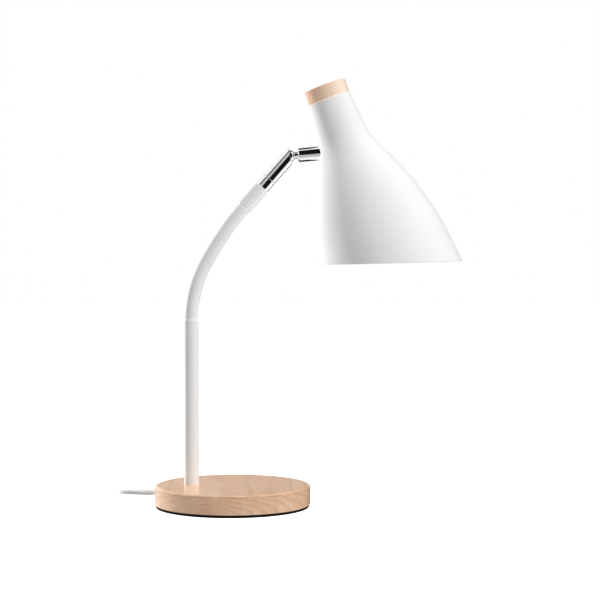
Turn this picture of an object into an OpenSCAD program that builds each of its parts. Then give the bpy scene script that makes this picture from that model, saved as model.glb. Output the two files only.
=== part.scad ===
// Desk lamp: round wooden base, white stem with a bendable neck, chrome knuckle
// and a bottle-shaped white shade with a wooden cap.
// Millimetres, +Z up, origin at the centre of the pad's underside.
// The shade hangs over +X, the flex leaves the base at the back left.

/* [Base] */
// Diameter of the wooden base
base_d = 156; // [154:1:176]
// Thickness of the wooden disc
base_wood_h = 19.2; // [19.2:0.1:26]
// Thickness of the black pad under the disc
pad_h = 2.7; // [2.7:0.1:4]
// Diameter of the black pad
pad_d = 153.6; // [130:0.2:153.6]
// Rounding of the disc's top edge
base_round = 3; // [0.6:0.2:5]
// Thickness of the steel weight plate
weight_h = 5; // [3:0.1:5]
// Diameter of the steel weight plate
weight_d = 128; // [118:1:128]

/* [Stem] */
// Stem position behind the base centre
stem_x = -41; // [-43:0.5:-39]
// Outer diameter of the stem tube
stem_d = 15; // [14.6:0.1:16.4]
// Height of the stem's top edge above the table
stem_top = 187; // [140:1:260]

/* [Neck] */
// Outer diameter of the white neck sleeve
sleeve_d = 13.5; // [12.8:0.1:13.9]
// Length of the lower, tighter bend
arc_len_1 = 60; // [50:1:80]
// Angle of the lower bend
arc_deg_1 = 29; // [12:0.5:32]
// Length of the middle bend
arc_len_2 = 45; // [40:1:60]
// Angle of the middle bend
arc_deg_2 = 7; // [2:0.5:12]
// Length of the upper bend
arc_len_3 = 16.5; // [15:0.5:24]
// Angle of the upper bend
arc_deg_3 = 5.5; // [1:0.5:7]
// Outer diameter of the ferrule at the top of the neck
ferrule_d = 16; // [15.4:0.1:18]
// Length of the ferrule
ferrule_len = 26; // [24:0.5:34]

/* [Knuckle] */
// Diameter of the chrome collar and knuckle body
knuckle_d = 14.7; // [14.4:0.1:15.6]
// Height of the seam above the ferrule
seam_h = 11; // [10.5:0.1:12]
// Ball centre above the ferrule
ball_h = 41; // [40:0.5:46]
// Diameter of the ball
ball_d = 12; // [11.6:0.1:12.2]
// Rise of the short arm above level
arm_rise = 5.3; // [4.8:0.1:5.8]
// Diameter of the short chrome arm
arm_d = 13.8; // [13.2:0.1:14.4]

/* [Shade] */
// Lean of the shade's axis from upright
shade_lean = 20; // [19.6:0.1:20.4]
// Diameter of the wooden cap at its foot
cap_d = 42.8; // [40:0.2:43.4]
// Height of the wooden cap
cap_h = 14; // [12:0.5:14]
// Thickness of the shade's metal
shade_t = 0.8; // [0.6:0.1:1.2]
// Rise of the slanted mouth from left to right
mouth_rise = 1.73; // [0:0.01:4]

/* [Lamp holder] */
// Outer diameter of the lamp holder
holder_d = 35; // [33.6:0.2:36]
// Bore of the threaded contact sleeve
socket_bore_d = 26.7; // [26.5:0.05:26.8]
// Depth of the threaded contact sleeve
socket_len = 22; // [20:0.5:22]

/* [Flex] */
// Diameter of the round flex
flex_d = 5; // [4.6:0.1:5]
// Direction in which the flex leaves the base
exit_deg = 162; // [160:1:164]
// Height at which the flex leaves the base
exit_z = 10.5; // [10.4:0.1:10.8]
// Length of the switch body
switch_len = 56; // [56:0.5:60]
// Width of the switch body
switch_w = 22; // [21:0.5:24]

/* [Hidden] */
$fn = 64;

base_top = pad_h + base_wood_h;
plate_z = pad_h + 0.2;
recess_z = plate_z + weight_h + 0.3;
pocket_z = base_top - 6;
plate_screw_r = 48;
plate_screw_at = [20, 110, 260];
stem_r = stem_d / 2;

// ---- neck centre line: three arcs and a short straight end ----
neck_straight = 6;
neck_len = arc_len_1 + arc_len_2 + arc_len_3 + neck_straight;
neck_deg = arc_deg_1 + arc_deg_2 + arc_deg_3;
links = 8;
joint_first = 5;
link_pitch = (neck_len - joint_first - neck_straight) / links;
half_gap = 1.15;
core_ball_r = 4.2;
core_r = 5.9;
core_socket_r = 5;

function along(p, a0, len, bend, s) =
  let(k = len / (bend * PI / 180), a = a0 + bend * s / len)
  [p[0] + k * (cos(a0) - cos(a)), 0, p[2] + k * (sin(a) - sin(a0))];
neck_p0 = [stem_x, 0, stem_top];
neck_p1 = along(neck_p0, 0, arc_len_1, arc_deg_1, arc_len_1);
neck_p2 = along(neck_p1, arc_deg_1, arc_len_2, arc_deg_2, arc_len_2);
neck_p3 = along(neck_p2, arc_deg_1 + arc_deg_2, arc_len_3, arc_deg_3, arc_len_3);
neck_dir = [sin(neck_deg), 0, cos(neck_deg)];
function neck_pt(s) =
  s <= arc_len_1 ? along(neck_p0, 0, arc_len_1, arc_deg_1, s)
  : s <= arc_len_1 + arc_len_2
    ? along(neck_p1, arc_deg_1, arc_len_2, arc_deg_2, s - arc_len_1)
  : s <= arc_len_1 + arc_len_2 + arc_len_3
    ? along(neck_p2, arc_deg_1 + arc_deg_2, arc_len_3, arc_deg_3,
            s - arc_len_1 - arc_len_2)
  : neck_p3 + (s - neck_len + neck_straight) * neck_dir;
function joint_pt(i) = neck_pt(joint_first + (i - 1) * link_pitch);

// ---- knuckle and head ----
ferrule_p = neck_pt(neck_len);
collar_p = ferrule_p + ferrule_len * neck_dir;
ball_p = collar_p + ball_h * neck_dir;
ball_r = ball_d / 2;
mouth_deg = 11;      // the knuckle's slanted mouth faces this far above level
mouth_off = 1.0;     // and lies this far beyond the ball's centre
arm_start = 8.6;
arm_reach = 30;
// the arm meets the shade 61.2 below the cap's top and 27.8 off its axis
head_x = ball_p[0] + arm_reach * cos(arm_rise)
  + 27.8 * cos(shade_lean) - 61.2 * sin(shade_lean);
head_z = ball_p[2] + arm_reach * sin(arm_rise)
  + 27.8 * sin(shade_lean) + 61.2 * cos(shade_lean);
plate_s = 14;        // underside of the cap, top of the shade's closed end

// radius of the shade against the distance below the cap's top
shade_pts = [[14, 21.9], [22, 22.3], [30, 23.0], [40, 24.0], [48, 24.8],
  [56, 26.1], [64, 28.4], [73, 32.2], [84, 37.7], [102, 46.0], [122, 53.6],
  [144, 59.9], [166, 64.5], [190, 67.9], [216, 70.4]];
function cr(p0, p1, p2, p3, t) =
  0.5 * (2 * p1 + (p2 - p0) * t + (2 * p0 - 5 * p1 + 4 * p2 - p3) * t * t
         + (3 * p1 - p0 - 3 * p2 + p3) * t * t * t);
function smooth(p, n) = [
  for (i = [0 : len(p) - 2], k = [0 : n - 1])
    cr(p[max(i - 1, 0)], p[i], p[i + 1], p[min(i + 2, len(p) - 1)], k / n),
  p[len(p) - 1]];
shade_line = smooth(shade_pts, 2);

// ---- flex: round numbers, in order from the base to the plug ----
exit_r = base_d / 2 - 0.2;
exit_dir = [cos(exit_deg), sin(exit_deg), 0];
exit_p = exit_r * exit_dir + [0, 0, exit_z];
switch_p = [-36, 91, 0];
switch_cord_z = 5;
coil_p = [30.5, 113.3, 0];
coil_lift = 0.4;
coil_r = [18, 38];
plug_p = [-15, 131.9, 6];
plug_deg = 200;
lead_a_pts = [
  exit_p, exit_p + 4 * exit_dir, exit_p + 9.5 * exit_dir - [0, 0, 0.4],
  [-93, 30.5, 9.5], [-102, 34.5, 9.2],
  [-110, 40, 8.9], [-115.5, 47.5, 8.1], [-118, 56.5, 6.8], [-116.5, 66, 5.2],
  [-111, 74, 3.8], [-103, 79.5, 2.9], [-94, 83, 2.5], [-84.5, 86, 2.5],
  [-77, 88.4, 3.4], [-70, 90.4, 4.7],
  [switch_p[0] - switch_len / 2, switch_p[1], switch_cord_z]];
lead_b_pts = [
  [switch_p[0] + switch_len / 2, switch_p[1], switch_cord_z],
  [-2, 90.5, 4.6], [4, 88.6, 3.9]];
lead_c_pts = [
  [7.5, 140, 7.9], [0.5, 137.5, 7.5], [-7.2, 134.7, 6.6], plug_p];

function unit(v) = v / norm(v);
function tangent(p, i) = unit(p[min(i + 1, len(p) - 1)] - p[max(i - 1, 0)]);
function arc_pts(cx, cy, r, a0, a1, n) =
  [for (k = [0 : n]) [cx + r * cos(a0 + (a1 - a0) * k / n),
                      cy + r * sin(a0 + (a1 - a0) * k / n)]];
function round_rect(w, h, r, n) = concat(
  arc_pts(w / 2 - r, h / 2 - r, r, 0, 90, n),
  arc_pts(r - w / 2, h / 2 - r, r, 90, 180, n),
  arc_pts(r - w / 2, r - h / 2, r, 180, 270, n),
  arc_pts(w / 2 - r, r - h / 2, r, 270, 360, n));

// a tube swept along points, with flat ends; ref is never along the path
module sweep(p, r, sides = 10, ref = [0, 0, 1]) {
  n = len(p);
  pts = [for (i = [0 : n - 1])
    let(t = tangent(p, i), a = unit(cross(ref, t)), b = cross(t, a))
    for (k = [0 : sides - 1])
      p[i] + r * (cos(360 * k / sides) * a + sin(360 * k / sides) * b)];
  walls = [for (i = [0 : n - 2], k = [0 : sides - 1])
    let(a = i * sides + k, b = i * sides + (k + 1) % sides)
    for (f = [[a, a + sides, b + sides], [a, b + sides, b]]) f];
  ends = [[for (k = [0 : sides - 1]) k],
          [for (k = [sides - 1 : -1 : 0]) (n - 1) * sides + k]];
  polyhedron(points = pts, faces = concat(ends, walls));
}
module tube(r_out, r_in, h) {
  difference() {
    cylinder(r = r_out, h = h);
    translate([0, 0, -1]) cylinder(r = r_in, h = h + 2);
  }
}
// a cylinder whose two rims are bevelled
module bevelled(r, h, c_low, c_high) {
  rotate_extrude() polygon([[0, 0], [r - c_low, 0], [r, c_low],
    [r, h - c_high], [r - c_high, h], [0, h]]);
}
module neck_frame(i) {
  a = joint_pt(i);
  b = joint_pt(i + 1);
  translate(a) rotate([0, atan2(b[0] - a[0], b[2] - a[2]), 0]) children();
}
function link_len(i) = norm(joint_pt(i + 1) - joint_pt(i));
module ferrule_frame() translate(ferrule_p) rotate([0, neck_deg, 0]) children();
module collar_frame() translate(collar_p) rotate([0, neck_deg, 0]) children();
module ball_frame() translate(ball_p) rotate([0, 90 - arm_rise, 0]) children();
module head_frame() translate([head_x, 0, head_z]) rotate([0, -shade_lean, 0])
  children();
module exit_frame() rotate([0, 0, exit_deg]) translate([0, 0, exit_z])
  rotate([0, 90, 0]) children();

// ================= base =================
module wood_base() {
  r = base_d / 2;
  color("burlywood") difference() {
    rotate_extrude() polygon(concat(
      [[0, pad_h], [r - 0.8, pad_h], [r - 0.23, pad_h + 0.23], [r, pad_h + 0.8]],
      arc_pts(r - base_round, base_top - base_round, base_round, 0, 90, 7),
      [[0, base_top]]));
    // recess for the weight plate
    translate([0, 0, pad_h - 1]) cylinder(r = weight_d / 2 + 1, h = recess_z - pad_h + 1);
    // pocket under the stem and channel for the flex
    translate([stem_x, 0, recess_z - 1]) cylinder(r = 16, h = pocket_z - recess_z + 1);
    rotate([0, 0, exit_deg]) translate([45.4, -9.5, pad_h - 1])
      cube([20.8, 19, pocket_z - pad_h + 1]);
    translate([stem_x, 0, 0]) cylinder(r = 5.2, h = base_top + 1);
    // hole for the bushing
    exit_frame() translate([0, 0, 65.5]) cylinder(r = 4.5, h = 30);
    // pilot holes
    for (a = plate_screw_at) rotate([0, 0, a]) translate([plate_screw_r, 0, 0])
      cylinder(r = 1.8, h = base_top - 4);
    rotate([0, 0, exit_deg]) for (y = [-6.2, 6.2]) translate([62, y, 0])
      cylinder(r = 1.4, h = base_top - 2.8);
  }
}
module weight_plate() {
  color("dimgray") translate([0, 0, plate_z]) difference() {
    bevelled(weight_d / 2, weight_h, 0.5, 0.5);
    for (a = plate_screw_at) rotate([0, 0, a]) translate([plate_screw_r, 0, 0]) {
      translate([0, 0, -1]) cylinder(r = 2.2, h = weight_h + 2);
      translate([0, 0, -0.01]) cylinder(r1 = 4.3, r2 = 2.2, h = 2.1);
    }
  }
}
// three countersunk wood screws
module plate_screws() {
  color("silver") for (a = plate_screw_at) rotate([0, 0, a])
    translate([plate_screw_r, 0, plate_z + 0.1]) {
      difference() {
        cylinder(r1 = 4.1, r2 = 2, h = 2.1);
        translate([-3, -0.4, -1]) cube([6, 0.8, 1.8]);
      }
      translate([0, 0, 2.1]) cylinder(r = 1.8, h = base_top - 4.6 - plate_z - 2.1);
    }
}
module base_pad() {
  color([0.08, 0.08, 0.08]) bevelled(pad_d / 2, pad_h, 0.3, 0.2);
}
module cord_bushing() {
  color("lightgray") exit_frame() translate([0, 0, weight_d / 2 + 1.2])
    tube(4.5, flex_d / 2 + 0.02, exit_r - weight_d / 2 - 1.2);
}
module cord_clamp() {
  color("ivory") rotate([0, 0, exit_deg]) translate([62, 0, exit_z]) difference() {
    translate([-2.5, -9, -2.1]) cube([5, 18, pocket_z - exit_z + 2.1]);
    translate([-5, 0, 0]) rotate([0, 90, 0]) cylinder(r = flex_d / 2 + 0.01, h = 10);
    for (y = [-6.2, 6.2]) translate([0, y, -5]) cylinder(r = 1.45, h = 20);
    for (y = [-6.2, 6.2]) translate([0, y, -5]) cylinder(r = 2.3, h = 4.6);
  }
}
module clamp_screws() {
  color("silver") rotate([0, 0, exit_deg]) for (y = [-6.2, 6.2])
    translate([62, y, exit_z - 2]) {
      cylinder(r = 2.2, h = 1.55);
      cylinder(r = 1.4, h = base_top - 3.4 - exit_z + 2);
    }
}
// the flex between its hole and the clamp
module inner_lead() {
  color("lightgray") exit_frame() translate([0, 0, 57.5])
    cylinder(r = flex_d / 2, h = exit_r - 57.5);
}
// the two single wires, from the clamp up through the nipple and the stem
wire_r = 1.05;
wire_start = 57.5 * exit_dir + [0, 0, exit_z];
module stem_wires() {
  path = [wire_start, [-51.6, 14.2, 10], [-48.5, 9.8, 9.3], [-45.8, 5.9, 9.1],
    [-43.8, 3.2, 9.1], [-42.3, 1.4, 10.2], [stem_x - 0.5, 0.5, 12.4],
    [stem_x, 0, 16], [stem_x, 0, 30], [stem_x, 0, 90], [stem_x, 0, stem_top - 24]];
  side = unit([0.70, 0.71, 0]);
  color("sienna") for (k = [-1, 1])
    sweep([for (p = path) p + k * 1.2 * side], wire_r, 8, side);
}

// ================= stem =================
module stem_tube() {
  color("white") translate([stem_x, 0, base_top]) difference() {
    bevelled(stem_r, stem_top - base_top, 0.15, 0.4);
    translate([0, 0, -1]) cylinder(r = 4.9, h = 30);
    translate([0, 0, 12]) cylinder(r = 6.5, h = stem_top);
  }
}
module stem_nipple() {
  color("gold") translate([stem_x, 0, 10.4]) tube(4.9, 3.7, base_top + 10.8 - 10.4);
}
module stem_washer() {
  color("silver") translate([stem_x, 0, pocket_z - 1.5]) tube(10.5, 5.0, 1.5);
}
module stem_nut() {
  color("silver") translate([stem_x, 0, pocket_z - 5]) difference() {
    cylinder(r = 8.6, h = 3.5, $fn = 6);
    translate([0, 0, -1]) cylinder(r = 4.9, h = 6);
  }
}

// ================= neck =================
// plug in the stem's top, with the first socket and a short sleeve end
module neck_socket() {
  j = joint_pt(1);
  color("whitesmoke") difference() {
    translate([stem_x, 0, 0]) {
      translate([0, 0, stem_top - 22]) cylinder(r = 6.5, h = 22);
      translate([0, 0, stem_top]) cylinder(r = sleeve_d / 2, h = j[2] - half_gap - stem_top);
      translate([0, 0, stem_top]) cylinder(r = core_socket_r, h = j[2] + 1.8 - stem_top);
    }
    translate(j) sphere(r = core_ball_r + 0.1);
    translate([stem_x, 0, stem_top - 23]) cylinder(r = 2.6, h = 26);
  }
}
// one length of the steel hose, with a ball below and a socket above
module neck_core(i) {
  l = link_len(i);
  color("gray") neck_frame(i) difference() {
    union() {
      sphere(r = core_ball_r);
      cylinder(r = 2.8, h = 5.5);
      translate([0, 0, 4.9]) cylinder(r = core_r, h = l - 3.4 - 4.9);
      translate([0, 0, 6]) cylinder(r = core_socket_r, h = l + 1.8 - 6);
    }
    translate([0, 0, l]) sphere(r = core_ball_r + 0.1);
    translate([0, 0, -5]) cylinder(r = 1.6, h = l + 5);
    for (w = [6.4, 8.6]) translate([0, 0, w]) tube(core_r + 1, core_r - 0.4, 0.5);
  }
}
module neck_sleeve(i) {
  color("white") neck_frame(i) translate([0, 0, half_gap])
    tube(sleeve_d / 2, core_r, link_len(i) - 2 * half_gap);
}
module neck_core_1() neck_core(1);
module neck_core_2() neck_core(2);
module neck_core_3() neck_core(3);
module neck_core_4() neck_core(4);
module neck_core_5() neck_core(5);
module neck_core_6() neck_core(6);
module neck_core_7() neck_core(7);
module neck_core_8() neck_core(8);
module neck_sleeve_1() neck_sleeve(1);
module neck_sleeve_2() neck_sleeve(2);
module neck_sleeve_3() neck_sleeve(3);
module neck_sleeve_4() neck_sleeve(4);
module neck_sleeve_5() neck_sleeve(5);
module neck_sleeve_6() neck_sleeve(6);
module neck_sleeve_7() neck_sleeve(7);
module neck_sleeve_8() neck_sleeve(8);

// steel end of the hose: ball, body in the ferrule, thread in the collar
module neck_end_fitting() {
  color("gray") ferrule_frame() translate([0, 0, -neck_straight]) difference() {
    union() {
      sphere(r = core_ball_r);
      cylinder(r = 2.8, h = 5.5);
      translate([0, 0, 4.9]) cylinder(r = core_r, h = neck_straight + 16 - 4.9);
      translate([0, 0, 10]) cylinder(r = 4.95, h = neck_straight + ferrule_len + 8 - 10);
    }
    translate([0, 0, -6]) cylinder(r = 1.6, h = 60);
  }
}
module neck_ferrule() {
  color("white") ferrule_frame() difference() {
    union() {
      translate([0, 0, half_gap - neck_straight])
        cylinder(r = sleeve_d / 2, h = neck_straight);
      bevelled(ferrule_d / 2, ferrule_len, 0.7, 0.4);
    }
    translate([0, 0, -10]) cylinder(r = core_r, h = 26);
    translate([0, 0, 0]) cylinder(r = 4.95, h = 40);
  }
}

// ================= knuckle =================
module knuckle_collar() {
  color("silver") collar_frame() difference() {
    union() {
      bevelled(knuckle_d / 2, seam_h - 0.2, 0.3, 0.4);
      translate([0, 0, 2]) cylinder(r = 4.5, h = 15.5);
    }
    translate([0, 0, -1]) cylinder(r = 4.95, h = 9);
    translate([0, 0, -1]) cylinder(r = 2.5, h = 20);
  }
}
// socket of the ball: a slanted mouth that closes just past the ball's middle
module knuckle_body() {
  color("silver") difference() {
    collar_frame() translate([0, 0, seam_h + 0.1])
      bevelled(knuckle_d / 2, ball_h + 12 - seam_h, 0.4, 0.4);
    collar_frame() cylinder(r = 4.55, h = ball_h - 4);
    translate(ball_p) sphere(r = ball_r + 0.1);
    translate(ball_p) rotate([0, 90 - mouth_deg, 0]) translate([0, 0, mouth_off])
      cylinder(r = 30, h = 30);
  }
}
// plastic seat that presses on the ball from behind
module ball_seat() {
  color("ivory") difference() {
    collar_frame() translate([0, 0, 29]) tube(4.5, 2.5, ball_h - 29 - 3);
    translate(ball_p) sphere(r = ball_r + 0.1);
  }
}
module ball_stud() {
  color("silver") ball_frame() difference() {
    union() {
      sphere(r = ball_r);
      cylinder(r = 3.3, h = 14.2);
      translate([0, 0, 14]) cylinder(r = 4.6, h = 2.2);
    }
    translate([0, 0, -8]) cylinder(r = 1.8, h = 30);
  }
}

// ================= head =================
module shade_body(grow) {
  head_frame() rotate_extrude($fn = 120) polygon(concat([[0, -plate_s + grow]],
    [for (p = shade_line) [p[1] + grow, -p[0] + (p[0] == plate_s ? grow : 0)]],
    [[0, -shade_pts[len(shade_pts) - 1][0]]]));
}
module shade_arm() {
  color("silver") difference() {
    union() {
      difference() {
        ball_frame() translate([0, 0, arm_start])
          bevelled(arm_d / 2, 30, 1.2, 0.4);
        shade_body(0.02);
      }
      ball_frame() translate([0, 0, 25]) cylinder(r = 4.85, h = 10.6);
    }
    ball_frame() {
      translate([0, 0, 5]) cylinder(r = 3.35, h = 12);
      translate([0, 0, 13.6]) cylinder(r = 5, h = 10);
      translate([0, 0, 5]) cylinder(r = 2.5, h = 40);
    }
  }
}
module arm_washer() {
  color("silver") ball_frame() translate([0, 0, 32.25]) tube(7.4, 4.9, 0.75);
}
module arm_nut() {
  color("silver") ball_frame() translate([0, 0, 33]) difference() {
    cylinder(r = 7.2, h = 2.6, $fn = 6);
    translate([0, 0, -1]) cylinder(r = 4.85, h = 6);
  }
}
module shade_shell() {
  last = len(shade_line) - 1;
  inner = [for (k = [last : -1 : 1]) [shade_line[k][1] - 1.1 * shade_t, -shade_line[k][0]]];
  color("white") difference() {
    head_frame() rotate_extrude($fn = 120) polygon(concat(
      [[4.95, -plate_s], [shade_line[0][1] - 0.5, -plate_s],
       [shade_line[0][1], -plate_s - 0.5]],
      [for (k = [1 : last]) [shade_line[k][1], -shade_line[k][0]]],
      inner,
      [[shade_line[0][1] - shade_t, -plate_s - 1], [4.95, -plate_s - 1]]));
    // slanted mouth
    translate([157, 0, 244.05]) rotate([0, -mouth_rise, 0])
      translate([-200, -200, -200]) cube([400, 400, 200]);
    ball_frame() translate([0, 0, 24]) cylinder(r = 4.95, h = 12);
  }
}
module wood_cap() {
  r = cap_d / 2;
  color("burlywood") head_frame() difference() {
    rotate_extrude() polygon(concat([[0, -plate_s]],
      [[r - 0.3, -plate_s], [r, -plate_s + 0.3]],
      arc_pts(r - 1.3, cap_h - plate_s - 1, 1, 0, 90, 4),
      [[0, cap_h - plate_s]]));
    translate([0, 0, -plate_s - 1]) cylinder(r = 4.85, h = 9);
  }
}
module cap_nipple() {
  color("gold") head_frame() translate([0, 0, -20.5]) tube(4.85, 3.5, 14.3);
}
module holder_cap() {
  r = holder_d / 2;
  color("whitesmoke") head_frame() difference() {
    rotate_extrude() polygon([[4.85, -15], [9, -15], [r - 2.2, -18.4], [r, -24],
      [r, -38], [r - 2, -38], [r - 2, -24.6], [r - 3.6, -20.2], [8.4, -17],
      [4.85, -17]]);
    translate([-r - 2, 0, -27]) rotate([0, 90, 0]) cylinder(r = 3.1, h = 6);
  }
}
module holder_insulator() {
  color("ivory") head_frame() translate([0, 0, -41.5]) difference() {
    cylinder(r = holder_d / 2 - 2.05, h = 7.5);
    for (y = [-8, 8]) translate([0, y, 4.5]) cylinder(r = 2, h = 5);
  }
}
module holder_body() {
  r = holder_d / 2;
  color("whitesmoke") head_frame() rotate_extrude() polygon([
    [r, -38], [r, -65.5], [r - 0.5, -66], [socket_bore_d / 2 + 0.55, -66],
    [socket_bore_d / 2 + 0.55, -41.5], [r - 2, -41.5], [r - 2, -38]]);
}
// threaded sleeve that takes the bulb, drawn at its thread's inner size
module contact_sleeve() {
  color("goldenrod") head_frame() translate([0, 0, -66])
    tube(socket_bore_d / 2 + 0.5, socket_bore_d / 2, socket_len);
}
module centre_contact() {
  color("goldenrod") head_frame() {
    translate([0, 0, -42.3]) cylinder(r = 3.6, h = 0.8);
    translate([0, 0, -43.6]) cylinder(r = 1.6, h = 1.5);
  }
}
module head_wires() {
  path = [[-37.5, 0, -58.7], [-29.7, 0, -60.7], [-25.5, 0, -61.8],
    [-22.8, 0, -62.3], [-20.6, 0, -61.9], [-19.4, 0, -60.1], [-19.1, 0, -57.5],
    [-19.1, 0, -50], [-19.3, 0, -38], [-19.1, 0, -31.5], [-18.1, 0, -28.4],
    [-16, 0, -27], [-13.2, 0, -26.8], [-10.4, 0, -27.8], [-8.6, 0, -30.4],
    [-8, 0, -33.8]];
  color("sienna") head_frame() for (k = [-1, 1])
    sweep([for (p = path) p + [0, k * 1.2, 0]], wire_r, 8, [0, 1, 0]);
}

// ================= flex, switch and plug =================
module cord_lead_a() color("lightgray") sweep(lead_a_pts, flex_d / 2, 10);
module cord_lead_b() color("lightgray") sweep(lead_b_pts, flex_d / 2, 10);
module cord_lead_c() color("lightgray") sweep(lead_c_pts, flex_d / 2, 10);
function coil_outline(g) = [[coil_r[0] - g, coil_lift - g], [coil_r[1] + g, coil_lift - g],
  [coil_r[1] + g, coil_lift + flex_d + g],
  [coil_r[1] - 2.5 + g, coil_lift + flex_d + g],
  [coil_r[1] - 2.5 + g, coil_lift + 1.87 * flex_d + g],
  [coil_r[0] - g, coil_lift + 1.87 * flex_d + g]];
// outer shape of the coiled flex
module cord_coil() {
  color("lightgray") translate(coil_p) rotate_extrude() polygon(coil_outline(0));
}
module cord_tie() {
  color("dimgray") translate(coil_p) rotate([0, 0, -35]) rotate([90, 0, 0])
    translate([0, 0, -4]) linear_extrude(height = 8) difference() {
      polygon(coil_outline(0.4));
      polygon(coil_outline(0));
    }
}
module switch_frame() translate(switch_p) children();
module switch_lower_shell() {
  color("white") switch_frame() difference() {
    translate([0, 0, 0]) union() {
      linear_extrude(height = 0.9) polygon(round_rect(switch_len - 1.6, switch_w - 1.6, 8, 6));
      translate([0, 0, 0.8]) linear_extrude(height = 5.8)
        polygon(round_rect(switch_len, switch_w, 8.6, 6));
    }
    translate([0, 0, 1.6]) linear_extrude(height = 6)
      polygon(round_rect(switch_len - 8, switch_w - 3.2, 5, 4));
    translate([-40, 0, switch_cord_z]) rotate([0, 90, 0])
      cylinder(r = flex_d / 2, h = 80);
    for (x = [-1, 1]) translate([x * 20.5, 7.2, -1]) cylinder(r = 1.3, h = 9);
    for (x = [-1, 1]) translate([x * 20.5, 7.2, -1]) cylinder(r = 2.3, h = 2.4);
  }
}
module switch_upper_shell() {
  color("white") switch_frame() difference() {
    union() {
      difference() {
        union() {
          translate([0, 0, 6.8]) linear_extrude(height = 5.5)
            polygon(round_rect(switch_len, switch_w, 8.6, 6));
          translate([0, 0, 12.2]) linear_extrude(height = 1.1)
            polygon(round_rect(switch_len - 2.2, switch_w - 2.2, 7.6, 6));
        }
        translate([0, 0, 6]) linear_extrude(height = 5.6)
          polygon(round_rect(switch_len - 8, switch_w - 3.2, 5, 4));
      }
      // ears for the rocker's axle
      for (y = [-1, 1]) translate([-4, y > 0 ? 6.6 : -10.4, 7.6]) cube([8, 3.8, 5]);
      // bosses for the screws
      for (x = [-1, 1]) translate([x * 20.5, 7.2, 6.8]) cylinder(r = 2.4, h = 5.4);
    }
    translate([-9.1, -6.4, 6]) cube([18.2, 12.8, 10]);
    translate([0, 0, 10.2]) rotate([90, 0, 0]) translate([0, 0, -8.5])
      cylinder(r = 1.56, h = 17);
    for (x = [-1, 1]) translate([x * 20.5, 7.2, 6]) cylinder(r = 1.2, h = 5);
    translate([-40, 0, switch_cord_z]) rotate([0, 90, 0])
      cylinder(r = flex_d / 2 + 0.05, h = 80);
  }
}
module switch_screws() {
  color("silver") switch_frame() for (x = [-1, 1]) translate([x * 20.5, 7.2, 0.1]) {
    difference() {
      cylinder(r = 2.2, h = 1.3);
      translate([-3, -0.3, -1]) cube([6, 0.6, 1.6]);
    }
    cylinder(r = 1.2, h = 10.6);
  }
}
// two blades that the rocker closes, one from each flex end
module switch_contacts() {
  color("goldenrod") switch_frame() for (x = [-1, 1]) {
    translate([x > 0 ? 3 : -18, -5, 1.6]) cube([15, 10, 0.6]);
    translate([x > 0 ? 3 : -3.6, -5, 1.6]) cube([0.6, 10, 3]);
  }
}
module switch_rocker() {
  color("dimgray") switch_frame() translate([0, 0, 10.2]) rotate([0, 7, 0]) {
    rotate([90, 0, 0]) translate([0, 0, -6.2]) linear_extrude(height = 12.4)
      polygon([[-8, -2], [8, -2], [8.1, 4], [7.6, 4.5], [4, 3.6], [0, 3.2],
               [-4, 3.6], [-7.6, 4.5], [-8.1, 4]]);
    rotate([90, 0, 0]) translate([0, 0, -8.3]) cylinder(r = 1.5, h = 16.6);
    translate([-1, -3, -4]) cube([2, 6, 3]);
  }
}
module plug_frame() translate(plug_p) rotate([0, 0, plug_deg]) rotate([0, 90, 0])
  children();
// two-blade plug: a ribbed sleeve on the flex and a flat body
module plug_body() {
  color("white") plug_frame() difference() {
    union() {
      difference() {
        cylinder(r1 = 3.4, r2 = 4.6, h = 16.5);
        for (z = [3, 6, 9, 12]) translate([0, 0, z]) tube(8, 3.1 + z * 0.06, 1.2);
      }
      hull() {
        translate([0, 0, 16]) linear_extrude(height = 1)
          polygon(round_rect(9, 14, 3, 4));
        translate([0, 0, 26]) linear_extrude(height = 16)
          polygon(round_rect(12, 24, 3.4, 4));
        translate([0, 0, 42]) linear_extrude(height = 2)
          polygon(round_rect(11, 23, 3, 4));
      }
    }
    for (y = [-6.35, 6.35]) translate([0, y, 36]) cube([6.35, 1.5, 20], center = true);
  }
}
module plug_blades() {
  color("silver") plug_frame() for (y = [-6.35, 6.35]) difference() {
    translate([-3.175, y - 0.75, 30]) cube([6.35, 1.5, 31]);
    translate([0, y, 57]) rotate([90, 0, 0]) translate([0, 0, -3]) cylinder(r = 1.6, h = 6);
    translate([-3.2, y - 1, 60.2]) rotate([0, 45, 0]) cube([1.2, 2, 1.2], center = true);
    translate([3.2, y - 1, 60.2]) rotate([0, 45, 0]) cube([1.2, 2, 1.2], center = true);
  }
}

wood_base();
weight_plate();
plate_screws();
base_pad();
stem_tube();
stem_nipple();
stem_nut();
stem_washer();
cord_bushing();
cord_clamp();
clamp_screws();
inner_lead();
stem_wires();
neck_socket();
neck_core_1();
neck_core_2();
neck_core_3();
neck_core_4();
neck_core_5();
neck_core_6();
neck_core_7();
neck_core_8();
neck_sleeve_1();
neck_sleeve_2();
neck_sleeve_3();
neck_sleeve_4();
neck_sleeve_5();
neck_sleeve_6();
neck_sleeve_7();
neck_sleeve_8();
neck_end_fitting();
neck_ferrule();
knuckle_collar();
knuckle_body();
ball_seat();
ball_stud();
shade_arm();
arm_washer();
arm_nut();
shade_shell();
wood_cap();
cap_nipple();
holder_cap();
holder_insulator();
holder_body();
contact_sleeve();
centre_contact();
head_wires();
cord_lead_a();
switch_lower_shell();
switch_upper_shell();
switch_screws();
switch_contacts();
switch_rocker();
cord_lead_b();
cord_coil();
cord_tie();
cord_lead_c();
plug_body();
plug_blades();
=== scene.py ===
import math

import bmesh
import bpy
from mathutils import Matrix, Vector


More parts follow.
